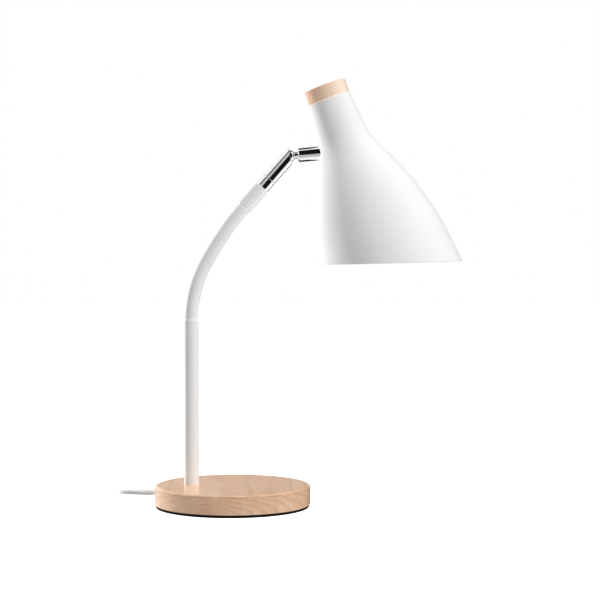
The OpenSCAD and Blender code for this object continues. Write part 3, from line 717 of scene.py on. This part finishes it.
kn = 128
rows = []
rows.append([Vector((4.58 * math.cos(2 * PI * k / kn), 4.58 * math.sin(2 * PI * k / kn), 11.1))
             for k in range(kn)])
for r, z in fillet([(4.58, 11.1), (KR, 11.1), (KR, 16)], [0, 0.4, 0], 6)[1:]:
    rows.append([Vector((r * math.cos(2 * PI * k / kn), r * math.sin(2 * PI * k / kn), z))
                 for k in range(kn)])
LIP = 0.28
for f in (0.25, 0.5, 0.75, 0.93, 1.0):      # up to the lip along the wall
    rows.append([Vector((KR * math.cos(w), KR * math.sin(w),
                         16 + f * (cut_z(KR * math.cos(w), KR * math.sin(w), MOUTH_OFF - LIP) - 16)))
                 for w in (2 * PI * k / kn for k in range(kn))])
for a in (22.5, 45, 67.5, 90):              # rounded lip
    rr = KR - LIP * (1 - cos(a))
    off = MOUTH_OFF - LIP * (1 - sin(a))
    rows.append([Vector((rr * math.cos(w), rr * math.sin(w),
                         cut_z(rr * math.cos(w), rr * math.sin(w), off)))
                 for w in (2 * PI * k / kn for k in range(kn))])
c_n = ball_c + MOUTH_OFF * mouth_n
rim_r = math.sqrt(SOCKET_R ** 2 - MOUTH_OFF ** 2)
rim, low = [], []
for k in range(kn):
    w = 2 * PI * k / kn
    p = rows[-1][k]
    d = (p - c_n)
    d -= d.dot(mouth_n) * mouth_n
    rim.append(c_n + (rim_r + 0.22) * d.normalized())
    low.append(Vector((4.58 * math.cos(w), 4.58 * math.sin(w),
                       ball_c.z - math.sqrt(SOCKET_R ** 2 - 4.58 ** 2))))
rows.append([p.lerp(q, 0.5) for p, q in zip(rows[-1], rim)])
rows.append(rim)
steps = 12
for i in range(steps + 1):
    t = i / steps
    ring = []
    for k in range(kn):
        d0 = (rim[k] - ball_c - (0.22 if i == 0 else 0.0) * (rim[k] - c_n).normalized())
        d0 = (d0 - 0.22 * mouth_n).normalized()
        d1 = (low[k] - ball_c).normalized()
        ang = d0.angle(d1)
        d = (math.sin((1 - t) * ang) * d0 + math.sin(t * ang) * d1) / math.sin(ang)
        ring.append(ball_c + SOCKET_R * d)
    rows.append(ring)
build("knuckle", [COLLAR_F @ v for row in rows for v in row],
      grid_faces(len(rows), kn, close_rows=True), M_CHROME, body="knuckle",
      stand_for=("knuckle_body",), slot="chrome", sharp=35)

# ball on its neck
ball_arc = [(6 * math.cos(math.radians(a)), 6 * math.sin(math.radians(a)))
            for a in range(-72, 54, 3)]
neck_z = 6 * math.sin(math.radians(53))
stud_profile = [Vector((1.8, 6 * math.sin(math.radians(-72))))] + \
    [Vector(p) for p in ball_arc] + fillet(
    [ball_arc[-1], (3.3, neck_z + 0.5), (3.3, 10), (3.3, 14), (4.6, 14), (4.6, 16.2), (1.8, 16.2)],
    [0, 0.5, 0, 0.1, 0.2, 0.2, 0], 5)[1:]
lathe("ball", stud_profile, 96, BALL_F, M_CHROME, body="ball", stand_for=("ball_stud",),
      slot="chrome")


# ------------------------------------------------------------------
# shade
# ------------------------------------------------------------------
def catmull(p0, p1, p2, p3, t):
    return 0.5 * (2 * p1 + (p2 - p0) * t + (2 * p0 - 5 * p1 + 4 * p2 - p3) * t * t
                  + (3 * p1 - p0 - 3 * p2 + p3) * t ** 3)


LINE = []
for i in range(len(SHADE_PTS) - 1):
    q = [Vector(SHADE_PTS[min(max(i + j, 0), len(SHADE_PTS) - 1)]) for j in (-1, 0, 1, 2)]
    LINE += [catmull(*q, k / 12) for k in range(12)]
LINE.append(Vector(SHADE_PTS[-1]))


def shade_r(s):
    """Outer radius s mm below the cap's top."""
    if s <= LINE[0].x:
        return LINE[0].y
    lo, hi = 0, len(LINE) - 1
    while hi - lo > 1:
        mid = (lo + hi) // 2
        if LINE[mid].x <= s:
            lo = mid
        else:
            hi = mid
    a, b = LINE[lo], LINE[hi]
    return a.y + (b.y - a.y) * (s - a.x) / (b.x - a.x)


EX = Vector((cos(LEAN), 0, sin(LEAN)))


def on_shade(s, r, w):
    return HEAD_P + s * DOWN + r * (math.cos(w) * EX + Vector((0, math.sin(w), 0)))


def mouth_s(w, inset=0.0):
    lo, hi = 120.0, 215.9
    for _ in range(40):
        mid = (lo + hi) / 2
        p = on_shade(mid, shade_r(mid) - inset, w)
        if p.z > 244.05 + math.tan(math.radians(MOUTH_RISE)) * (p.x - 157):
            lo = mid
        else:
            hi = mid
    return (lo + hi) / 2


SN = 192
WALL, HEM = 0.8, 1.35
angles = [2 * PI * k / SN for k in range(SN)]
ends = [mouth_s(w) for w in angles]
# fractions of the way down, evenly spaced
fr = [i / 110 for i in range(111)]
rows = [[on_shade(14, 5.0, w) for w in angles], [on_shade(14, 12, w) for w in angles],
        [on_shade(14, 20.2, w) for w in angles]]
for a in (0, 22.5, 45, 67.5):
    rows.append([on_shade(14 + 0.6 * (1 - cos(a)), 21.9 - 0.6 * (1 - sin(a)) - 0.001, w)
                 for w in angles])
for f in fr:
    row = []
    for w, end in zip(angles, ends):
        s = 14.6 + f * (end - 0.75 - 14.6)
        row.append(on_shade(s, shade_r(s), w))
    rows.append(row)
# the edge is rolled: a small bead stands 0.25 proud, then the hem turns in
for ds, dr in ((-0.55, 0.06), (-0.3, 0.02), (-0.1, -0.12), (0.0, -0.38), (0.02, -0.65),
               (-0.08, -0.98), (-0.32, -1.22), (-0.7, -HEM), (-1.6, -HEM), (-2.7, -HEM),
               (-3.0, -HEM + 0.12), (-3.15, -WALL - 0.18), (-3.3, -WALL)):
    rows.append([on_shade(end + ds, shade_r(end + ds) + dr, w) for w, end in zip(angles, ends)])
for f in reversed(fr[:-1]):
    row = []
    for w, end in zip(angles, ends):
        s = 14 + WALL + 0.4 + f * (end - 3.6 - 14 - WALL - 0.4)
        row.append(on_shade(s, shade_r(s) - WALL, w))
    rows.append(row)
rows.append([on_shade(14 + WALL, shade_r(14) - WALL - 0.5, w) for w in angles])
rows.append([on_shade(14 + WALL, 12, w) for w in angles])
rows.append([on_shade(14 + WALL, 5.0, w) for w in angles])
shade = build("shade", [v for row in rows for v in row],
              grid_faces(len(rows), SN, close_rows=True), M_PAINT, body="head",
              stand_for=("shade_shell",), slot="white_paint", sharp=50)
shade.data.materials.append(M_SHADED_INSIDE)
# the inside gets a greyer, more matt copy of the paint: the greyer colour is painted shade for the shadow inside the
# shell
first_inner = (3 + 4 + len(fr) + 7) * SN
for poly in shade.data.polygons:
    c = poly.center / MM
    s = (c - HEAD_P).dot(DOWN)
    rho = ((c - HEAD_P) - s * DOWN).length
    if rho < shade_r(s) - 0.6 and s > 14.4:
        poly.material_index = 1

# wooden cap
cap_pts = [(0.0, 0.0), (10.0, -0.02), (18.0, -0.06), (21.4, -0.12), (21.4, -7), (21.4, -13.98), (4.9, -13.98),
           (4.9, -6.1), (0.0, -6.1)]
lathe("cap", fillet(cap_pts, [0, 0, 0, 0.9, 0, 0.35, 0.2, 0.2, 0], 7), 96, HEAD_F, M_CAP,
      body="head", stand_for=("wood_cap",), slot="beech", closed=False)


# ------------------------------------------------------------------
# arm between ball and shade
# ------------------------------------------------------------------
AR = 6.9


def to_shade(x, y, depth):
    """How far along the arm's axis the point (x, y) of its section meets the shade."""
    lo, hi = 14.0, 45.0
    for _ in range(40):
        mid = (lo + hi) / 2
        p = BALL_F @ Vector((x, y, mid))
        s = (p - HEAD_P).dot(DOWN)
        rho = ((p - HEAD_P) - s * DOWN).length
        if rho > shade_r(s) - depth:
            lo = mid
        else:
            hi = mid
    return (lo + hi) / 2


an = 96
rows = []
for r, z in fillet([(3.42, 16.2), (3.42, 8.7), (5.72, 8.62), (AR, 9.8), (AR, 14)],
                   [0, 0.25, 0.18, 0.35, 0], 6):
    rows.append([Vector((r * math.cos(2 * PI * k / an), r * math.sin(2 * PI * k / an), z))
                 for k in range(an)])
tips = [(AR * math.cos(2 * PI * k / an), AR * math.sin(2 * PI * k / an)) for k in range(an)]
meet = [to_shade(x, y, 0.25) for x, y in tips]
for f in (0.35, 0.7, 0.97, 1.0):
    rows.append([Vector((x, y, 14 + f * (z - 14))) for (x, y), z in zip(tips, meet)])
rows.append([Vector((x * 0.86, y * 0.86, to_shade(x * 0.86, y * 0.86, 0.3))) for x, y in tips])
rows.append([Vector((x * 0.705, y * 0.705, to_shade(x * 0.705, y * 0.705, 0.3))) for x, y in tips])
rows.append([Vector((x * 0.705, y * 0.705, 23.6)) for x, y in tips])
rows.append([Vector((x * 0.4, y * 0.4, 23.6)) for x, y in tips])
rows.append([Vector((x * 0.4, y * 0.4, 16.2)) for x, y in tips])
arm_faces = grid_faces(len(rows), an, close_rows=True)
arm_verts = [BALL_F @ v for row in rows for v in row]
# threaded end through the shade's wall
thread = [Vector((2.5, 23.7)), Vector((4.6, 23.7))]
z = 23.9
while z < 35.0:
    thread += [Vector((4.86, z)), Vector((4.86, z + 0.25)), Vector((4.45, z + 0.5)),
               Vector((4.45, z + 0.65))]
    z += 0.95
thread += [Vector((4.3, 35.6)), Vector((2.5, 35.6))]
v2, f2 = lathe_data(thread, 48, BALL_F)
verts, faces = merge_data((arm_verts, arm_faces), (v2, f2))
build("arm", verts, faces, M_CHROME, body="head", stand_for=("shade_arm",), slot="chrome",
      sharp=35)


def hex_nut(name, af, z0, z1, bore, m, mat, **kw):
    """Hexagon nut with both faces chamfered."""
    r, n, sections = af / math.sqrt(3), 72, []
    hexa = []
    for k in range(n):
        w = 2 * PI * k / n
        u = (w + PI / 6) % (PI / 3) - PI / 6
        hexa.append((w, r * math.cos(PI / 6) / math.cos(u)))
    lim = af / 2 * 1.0
    verts = []
    rows = []
    for z, cut in ((z0, 0.0), (z0 + 0.5, 1.0), (z1 - 0.5, 1.0), (z1, 0.0)):
        rows.append([Vector((min(h, lim + (r - lim) * cut) * math.cos(w),
                             min(h, lim + (r - lim) * cut) * math.sin(w), z)) for w, h in hexa])
    rows.append([Vector(((bore + 0.35) * math.cos(w), (bore + 0.35) * math.sin(w), z1)) for w, h in hexa])
    rows.append([Vector((bore * math.cos(w), bore * math.sin(w), z1 - 0.4)) for w, h in hexa])
    rows.append([Vector((bore * math.cos(w), bore * math.sin(w), z0 + 0.4)) for w, h in hexa])
    rows.append([Vector(((bore + 0.35) * math.cos(w), (bore + 0.35) * math.sin(w), z0)) for w, h in hexa])
    return build(name, [m @ v for row in rows for v in row],
                 grid_faces(len(rows), n, close_rows=True), mat, sharp=30, **kw)


hex_nut("arm_locknut", 12.4, 33.0, 35.5, 4.88, BALL_F, M_STEEL, body="head",
        stand_for=("arm_nut",), slot="steel")

# ------------------------------------------------------------------
# lamp holder
# ------------------------------------------------------------------
HR = 17.5
lathe("holder_skirt", fillet(
    [(HR, -38.2), (HR, -45), (HR, -65.2), (HR - 0.9, -66), (14.1, -66), (13.92, -64.8), (13.92, -41.6),
     (HR - 2, -41.6), (HR - 2, -38.2)],
    [0.3, 0, 0.5, 0.3, 0.4, 0, 0, 0, 0], 5), 96, HEAD_F, M_WHITE, body="head",
    stand_for=("holder_body",), slot="white_plastic")
lathe("holder_dome", fillet(
    [(4.9, -15), (9, -15), (HR - 2.2, -18.4), (HR, -24), (HR, -31), (HR + 0.25, -31.5), (HR + 0.25, -33), (HR, -33.5), (HR, -37.7), (HR - 2, -37.7),
     (HR - 2, -24.6), (HR - 3.6, -20.2), (8.4, -17), (4.9, -17)],
    [0.3, 2.5, 3.5, 3, 0, 0.2, 0.2, 0, 0.3, 0.2, 2, 3, 2, 0.2], 5), 96, HEAD_F, M_WHITE,
    body="head", stand_for=("holder_cap",), slot="white_plastic")
# rolled screw thread of the contact sleeve
tn, pitch, depth, wall = 72, 3.62, 0.42, 0.16
rows = []
zs = [-66 + 0.001 + 22 * i / 100 for i in range(101)]
for side in (0, 1):
    for z in (zs if side == 0 else list(reversed(zs))):
        ring = []
        fade = min(1, (z + 66) / 1.2, (-44 - z) / 1.2)
        for k in range(tn):
            w = 2 * PI * k / tn
            r = 13.36 + depth * 0.5 * (1 - math.cos(2 * PI * (z / pitch) - w)) * max(fade, 0) \
                + (wall if side else 0)
            ring.append(Vector((r * math.cos(w), r * math.sin(w), z)))
        rows.append(ring)
build("socket_thread", [HEAD_F @ v for row in rows for v in row],
      grid_faces(len(rows), tn, close_rows=True), M_BRASS, body="head",
      stand_for=("contact_sleeve",), slot="brass", sharp=60)
# springy centre tongue
tongue = []
for i in range(13):
    t = i / 12
    x = -8.5 + 11.5 * t
    z = -41.7 - 2.6 * math.sin(PI * min(1, t * 1.05)) ** 0.8 if t > 0.02 else -41.7
    tongue.append((x, z))
rows = []
for x, z in tongue:
    half = 2.6 if x < -3 else 2.6 - 0.9 * (x + 3) / 6
    rows.append([Vector((x, -half, z)), Vector((x, half, z)), Vector((x, half, z + 0.4)),
                 Vector((x, -half, z + 0.4))])
build("centre_tongue", [HEAD_F @ v for row in rows for v in row],
      grid_faces(len(rows), 4) + [(0, 1, 2, 3), tuple(range(len(rows) * 4 - 4, len(rows) * 4))[::-1]],
      M_BRASS, body="head", stand_for=("centre_contact",), slot="brass", sharp=40)

# ------------------------------------------------------------------
# in-line switch
# ------------------------------------------------------------------
SL, SW = 56.0, 22.0


def outline(dl, r):
    return round_rect(SL - 2 * dl, SW - 2 * dl, max(r - dl, 1.0), 12)


hole = round_rect(18.2, 12.8, 1.6, 12)
sections = [(outline(0.9, 8.6), 6.85), (outline(0.25, 8.6), 6.85), (outline(0.0, 8.6), 7.1),
            (outline(0.0, 8.6), 10.4)]
for a in (15, 30, 45, 60, 75, 90):
    sections.append((outline(2.9 * (1 - cos(a)), 8.6), 10.4 + 2.75 * sin(a)))
sections += [(outline(4.0, 8.6), 13.22), (outline(5.0, 8.6), 13.26),
             (round_rect(19.4, 14.0, 2.1, 12), 13.3), (round_rect(18.8, 13.4, 1.9, 12), 13.22),
             (round_rect(18.4, 13.0, 1.7, 12), 13.0), (hole, 12.6), (hole, 6.85)]
verts = [SWITCH_F @ Vector((x, y, z)) for ring, z in sections for x, y in ring]
build("switch_top", verts, grid_faces(len(sections), len(hole), close_rows=True), M_WHITE,
      body="root", stand_for=("switch_upper_shell",), slot="white_plastic", sharp=40)
low = [(outline(1.7, 8.6), 0.0), (outline(0.8, 8.6), 0.25), (outline(0.25, 8.6), 0.8),
       (outline(0.0, 8.6), 1.6), (outline(0.0, 8.6), 6.45), (outline(0.25, 8.6), 6.7),
       (outline(0.9, 8.6), 6.7), (outline(1.5, 8.6), 6.7), (outline(1.5, 8.6), 1.6)]
v1, f1 = loft(low, SWITCH_F)
# end collars where the flex goes in
parts = [(v1, f1)]
for side in (-1, 1):
    m = Matrix.Translation(SWITCH_P + Vector((side * (SL / 2 - 0.6), 0, 5))) @ \
        Matrix.Rotation(side * PI / 2, 4, "Y")
    prof = fillet([(2.55, 0), (4.4, 0), (4.2, 2.0), (3.3, 4.2), (2.55, 4.2)],
                  [0, 0, 0.6, 0.5, 0.2], 4)
    parts.append(lathe_data(prof, 36, m))
v1, f1 = merge_data(*parts)
build("switch_bottom", v1, f1, M_WHITE, body="root", stand_for=("switch_lower_shell",),
      slot="white_plastic", sharp=40)

# rocker with a dished top; a bar at one end and a ring at the other
rock_f = SWITCH_F @ Matrix.Translation((0, 0, 10.2)) @ Matrix.Rotation(math.radians(7), 4, "Y")
prof = [(-8.0, -2.0), (8.0, -2.0), (8.1, 3.6), (7.5, 4.45)] + \
    [(x, 3.15 + 1.25 * (abs(x) / 7.2) ** 2) for x in (6.8, 5.4, 4, 2.6, 1.2, 0, -1.2, -2.6, -4, -5.4, -6.8)] + \
    [(-7.5, 4.45), (-8.1, 3.6)]
rock = fillet(prof, [0.2, 0.2, 0.3, 0.35] + [0] * 11 + [0.35, 0.3], 4, closed=True)
rows = []
for y, d in ((-6.2, 0.35), (-6.08, 0.1), (-5.8, 0.0), (-3, 0), (0, 0), (3, 0), (5.8, 0.0), (6.08, 0.1), (6.2, 0.35)):
    rows.append([Vector((p.x * (1 - d / 9), y, p.y - (d if p.y > 0 else -d))) for p in rock])
v1 = [rock_f @ v for row in rows for v in row]
nr = len(rock)
f1 = grid_faces(len(rows), nr) + [tuple(range(nr)), tuple(range((len(rows) - 1) * nr, len(rows) * nr))[::-1]]
parts = [(v1, f1)]


def rock_top(x):
    return 3.15 + 1.25 * (min(abs(x), 7.2) / 7.2) ** 2


bar = [(Vector((5.0 + dx, dy, 0))) for dx, dy in ((-0.25, -1.7), (0.25, -1.7), (0.25, 1.7), (-0.25, 1.7))]
v2 = [rock_f @ Vector((p.x, p.y, rock_top(p.x) + h)) for h in (-0.3, 0.14) for p in bar]
parts.append((v2, [(0, 1, 2, 3), (7, 6, 5, 4), (0, 4, 5, 1), (1, 5, 6, 2), (2, 6, 7, 3), (3, 7, 4, 0)]))
ringv, ringf = [], []
for k in range(32):
    w = 2 * PI * k / 32
    for r, h in ((1.25, -0.3), (1.75, -0.3), (1.75, 0.14), (1.25, 0.14)):
        x, y = -5.0 + r * math.cos(w), r * math.sin(w)
        ringv.append(rock_f @ Vector((x, y, rock_top(x) + h)))
parts.append((ringv, grid_faces(32, 4, close_rows=True)))
# axle stubs
axle = Matrix.Translation((0, 0, 0))
for side in (-1, 1):
    m = rock_f @ Matrix.Translation((0, side * 6.1, 0)) @ Matrix.Rotation(-side * PI / 2, 4, "X")
    parts.append(lathe_data(fillet([(0, 0), (1.5, 0), (1.5, 2.2), (0, 2.2)], [0, 0, 0.3, 0], 4), 24,
                            m, closed=False))
v1, f1 = merge_data(*parts)
build("rocker_button", v1, f1, M_DARK, body="rocker", stand_for=("switch_rocker",),
      slot="rocker_plastic", sharp=38)

# ------------------------------------------------------------------
# plug with its ribbed relief
# ------------------------------------------------------------------
def rr(w, h, r):
    r = min(r, w / 2 - 0.01, h / 2 - 0.01)
    return round_rect(w, h, r, 10)


plug_sections = [(rr(9.2, 12.5, 4.6), 15.4), (rr(9.8, 14.2, 4.4), 16.2), (rr(10.4, 17.0, 4.0), 19.5),
                 (rr(11.2, 20.5, 3.8), 23.5), (rr(11.8, 23.0, 3.7), 27.0),
                 (rr(12.0, 24.0, 3.6), 29.5)]
for z in (31.0, 33.2, 35.4):            # finger grooves
    plug_sections += [(rr(12.0, 24.0, 3.6), z - 0.55), (rr(11.6, 23.1, 3.5), z - 0.25),
                      (rr(11.5, 22.9, 3.5), z), (rr(11.6, 23.1, 3.5), z + 0.25),
                      (rr(12.0, 24.0, 3.6), z + 0.55)]
plug_sections += [(rr(12.0, 24.0, 3.6), 40.0), (rr(12.0, 24.0, 3.6), 42.9),
                  (rr(11.85, 23.85, 3.5), 43.4), (rr(11.4, 23.4, 3.3), 43.8),
                  (rr(10.6, 22.6, 3.0), 44.0), (rr(7.0, 18.0, 2.0), 44.02)]
v1, f1 = loft(plug_sections, PLUG_F)
relief = [(2.52, -5.5), (3.0, -5.5)]
z = -5.0
while z < 15.0:
    r = 3.15 + (z + 5) * 0.075
    relief += [(r, z), (r, z + 1.3), (r - 0.42, z + 1.55), (r - 0.42, z + 2.15), (r, z + 2.4)]
    z += 2.4
relief += [(4.75, 16.3), (2.52, 16.3)]
v2, f2 = lathe_data([Vector(p) for p in relief], 40, PLUG_F)
v1, f1 = merge_data((v1, f1), (v2, f2))
build("plug", v1, f1, M_WHITE, body="root", stand_for=("plug_body",), slot="white_plastic",
      sharp=40)

# ------------------------------------------------------------------
# strap that holds the coil
# ------------------------------------------------------------------
tie_f = Matrix.Translation(COIL_P) @ Matrix.Rotation(math.radians(-35), 4, "Z")
band = [(17.6, 0.36), (38.3, 0.36), (38.45, 5.6), (35.9, 10.0), (20.6, 10.15), (17.6, 5.8)]
path = fillet(band, [1.8, 2.4, 1.6, 2.4, 2.4, 1.6], 8, closed=True)
rows = []
for y, t in ((-4.0, 0.04), (-3.85, 0.28), (0, 0.32), (3.85, 0.28), (4.0, 0.04)):
    ring = []
    for i, p in enumerate(path):
        q = path[(i + 1) % len(path)] - path[i - 1]
        nrm = Vector((q.y, -q.x)).normalized()
        ring.append(Vector((p.x + nrm.x * t, y, p.y + nrm.y * t)))
    rows.append(ring)
inner = [Vector((p.x, 4.0, p.y)) for p in path]
rows.append(inner)
rows.append([Vector((p.x, -4.0, p.y)) for p in path])
v1 = [tie_f @ v for row in rows for v in row]
f1 = grid_faces(len(rows), len(path), close_rows=True)
# the loose end lies over the top
end_rows = []
for i in range(9):
    t = i / 8
    x = 33.0 - 11.5 * t
    zc = 10.02 + 0.40 + 0.012 * (x - 33) + (0.9 * max(0, t - 0.75) ** 1.0)
    end_rows.append([Vector((x, -3.9, zc)), Vector((x, 3.9, zc)), Vector((x, 3.9, zc + 0.4)),
                     Vector((x, -3.9, zc + 0.4))])
v2 = [tie_f @ v for row in end_rows for v in row]
f2 = grid_faces(len(end_rows), 4) + [(0, 1, 2, 3), tuple(range(len(end_rows) * 4 - 4, len(end_rows) * 4))[::-1]]
v1, f1 = merge_data((v1, f1), (v2, f2))
build("coil_strap", v1, f1, M_TIE, body="root", stand_for=("cord_tie",), slot="rocker_plastic",
      sharp=45)

# ------------------------------------------------------------------
# stage and light
# ------------------------------------------------------------------
floor_mat = bpy.data.materials.new("pale_floor")
floor_mat.use_nodes = True
ft = floor_mat.node_tree
fb = ft.nodes["Principled BSDF"]
fb.inputs["Base Color"].default_value = (0.9, 0.9, 0.9, 1)
fb.inputs["Roughness"].default_value = 0.9
fb.inputs["Emission Color"].default_value = (1, 1, 1, 1)
fb.inputs["Emission Strength"].default_value = 1.0
me = bpy.data.meshes.new("floor")
me.from_pydata([(-6, -6, 0), (6, -6, 0), (6, 6, 0), (-6, 6, 0)], [], [(0, 1, 2, 3)])
me.materials.append(floor_mat)
floor = bpy.data.objects.new("floor", me)
floor.location.z = -0.0004
scene.collection.objects.link(floor)
floor.visible_diffuse = False
floor.visible_glossy = False
floor_mat.cycles.emission_sampling = "NONE"

world = bpy.data.worlds.new("World")
scene.world = world
world.use_nodes = True
wt = world.node_tree
wt.nodes.clear()


def wn(kind, **props):
    node = wt.nodes.new(kind)
    for k, v in props.items():
        setattr(node, k, v)
    return node


def wmath(op, a, b=None, clamp=False):
    node = wn("ShaderNodeMath", operation=op, use_clamp=clamp)
    for i, v in enumerate((a, b)):
        if v is None:
            continue
        if isinstance(v, (int, float)):
            node.inputs[i].default_value = v
        else:
            wt.links.new(v, node.inputs[i])
    return node.outputs[0]


wc = wn("ShaderNodeTexCoord")
ws = wn("ShaderNodeSeparateXYZ")
wt.links.new(wc.outputs["Generated"], ws.inputs[0])
wx, wy, wz = ws.outputs


def soft(v, a, b):
    """0 below a, 1 above b (or the other way round)."""
    node = wn("ShaderNodeMapRange", interpolation_type="SMOOTHSTEP")
    node.inputs["From Min"].default_value = a
    node.inputs["From Max"].default_value = b
    wt.links.new(v, node.inputs["Value"])
    return node.outputs["Result"]


# what polished metal sees: dark towards the camera, a grey panel at its left, white
# at the far left and behind, a white strip overhead
slope = wmath("ADD", wx, wmath("MULTIPLY", wz, 0.45))
left_panel = wmath("MULTIPLY", soft(slope, -0.01, -0.03), soft(wx, -0.52, -0.49))
left_panel = wmath("MULTIPLY", left_panel, soft(wy, -0.45, -0.60))
left_panel = wmath("MULTIPLY", left_panel, soft(wz, 0.62, 0.52))
far_left = soft(wx, -0.66, -0.70)
behind = wmath("MULTIPLY", soft(slope, -0.02, -0.07), soft(wy, -0.52, -0.44))
behind = wmath("MULTIPLY", behind, soft(wz, -0.35, -0.2))
strip = wmath("MULTIPLY", soft(wz, 0.965, 0.975), soft(wy, 0.16, 0.12))
strip = wmath("MULTIPLY", strip, soft(wy, -0.24, -0.19))
# pale backdrop low behind the lamp, seen in the lacquer of the base at a flat angle
back = wmath("MULTIPLY", soft(wy, 0.90, 0.95), soft(wz, 0.0, 0.06))
# white table: two edges of it, as straight lines on the floor
down = wmath("MULTIPLY", wz, -1.0)
near = wmath("ADD", wmath("MULTIPLY", down, -0.85), wmath("MULTIPLY", wx, 0.39))
far = wmath("ADD", wmath("MULTIPLY", down, 0.05), wmath("MULTIPLY", wx, 1.157))
table = wmath("MULTIPLY", soft(wmath("SUBTRACT", wy, near), -0.02, 0.02),
              soft(wmath("SUBTRACT", far, wy), -0.02, 0.02))
table = wmath("MULTIPLY", table, soft(down, 0.35, 0.42))
white = wmath("MAXIMUM", wmath("MAXIMUM", far_left, behind), wmath("MAXIMUM", strip, table))
level = wmath("MAXIMUM", wmath("MULTIPLY", white, 1.3), wmath("MULTIPLY", left_panel, 0.68))
level = wmath("ADD", wmath("MAXIMUM", level, wmath("MULTIPLY", back, 0.35)), 0.010)
bg_gloss = wn("ShaderNodeBackground")
wt.links.new(level, bg_gloss.inputs["Strength"])
bg_fill = wn("ShaderNodeBackground")
bg_fill.inputs["Strength"].default_value = 0.57
bg_see = wn("ShaderNodeBackground")
bg_see.inputs["Color"].default_value = (1, 1, 1, 1)
bg_see.inputs["Strength"].default_value = 1.0
lp = wn("ShaderNodeLightPath")
m1 = wn("ShaderNodeMixShader")
wt.links.new(lp.outputs["Is Glossy Ray"], m1.inputs[0])
wt.links.new(bg_fill.outputs[0], m1.inputs[1])
wt.links.new(bg_gloss.outputs[0], m1.inputs[2])
m2 = wn("ShaderNodeMixShader")
wt.links.new(lp.outputs["Is Camera Ray"], m2.inputs[0])
wt.links.new(m1.outputs[0], m2.inputs[1])
wt.links.new(bg_see.outputs[0], m2.inputs[2])
wo = wn("ShaderNodeOutputWorld")
wt.links.new(m2.outputs[0], wo.inputs["Surface"])


def area(name, where, look, size, power, gloss=False):
    data = bpy.data.lights.new(name, "AREA")
    data.shape = "RECTANGLE"
    data.size, data.size_y = size
    data.energy = power
    o = bpy.data.objects.new(name, data)
    o.location = where
    d = Vector(look) - Vector(where)
    o.rotation_euler = d.to_track_quat("-Z", "Y").to_euler()
    scene.collection.objects.link(o)
    o.visible_glossy = gloss
    data.use_shadow = False
    return o


area("key_right", (1.75, -1.15, 0.95), (0.02, 0, 0.22), (1.1, 1.3), 29.5)
area("edge_left", (-1.74, 1.18, 0.40), (0.05, 0, 0.25), (0.4, 1.4), 60)
area("overhead", (0.0, 0.1, 1.9), (0, 0, 0), (1.0, 1.0), 11)
scene.view_settings.view_transform = "Standard"
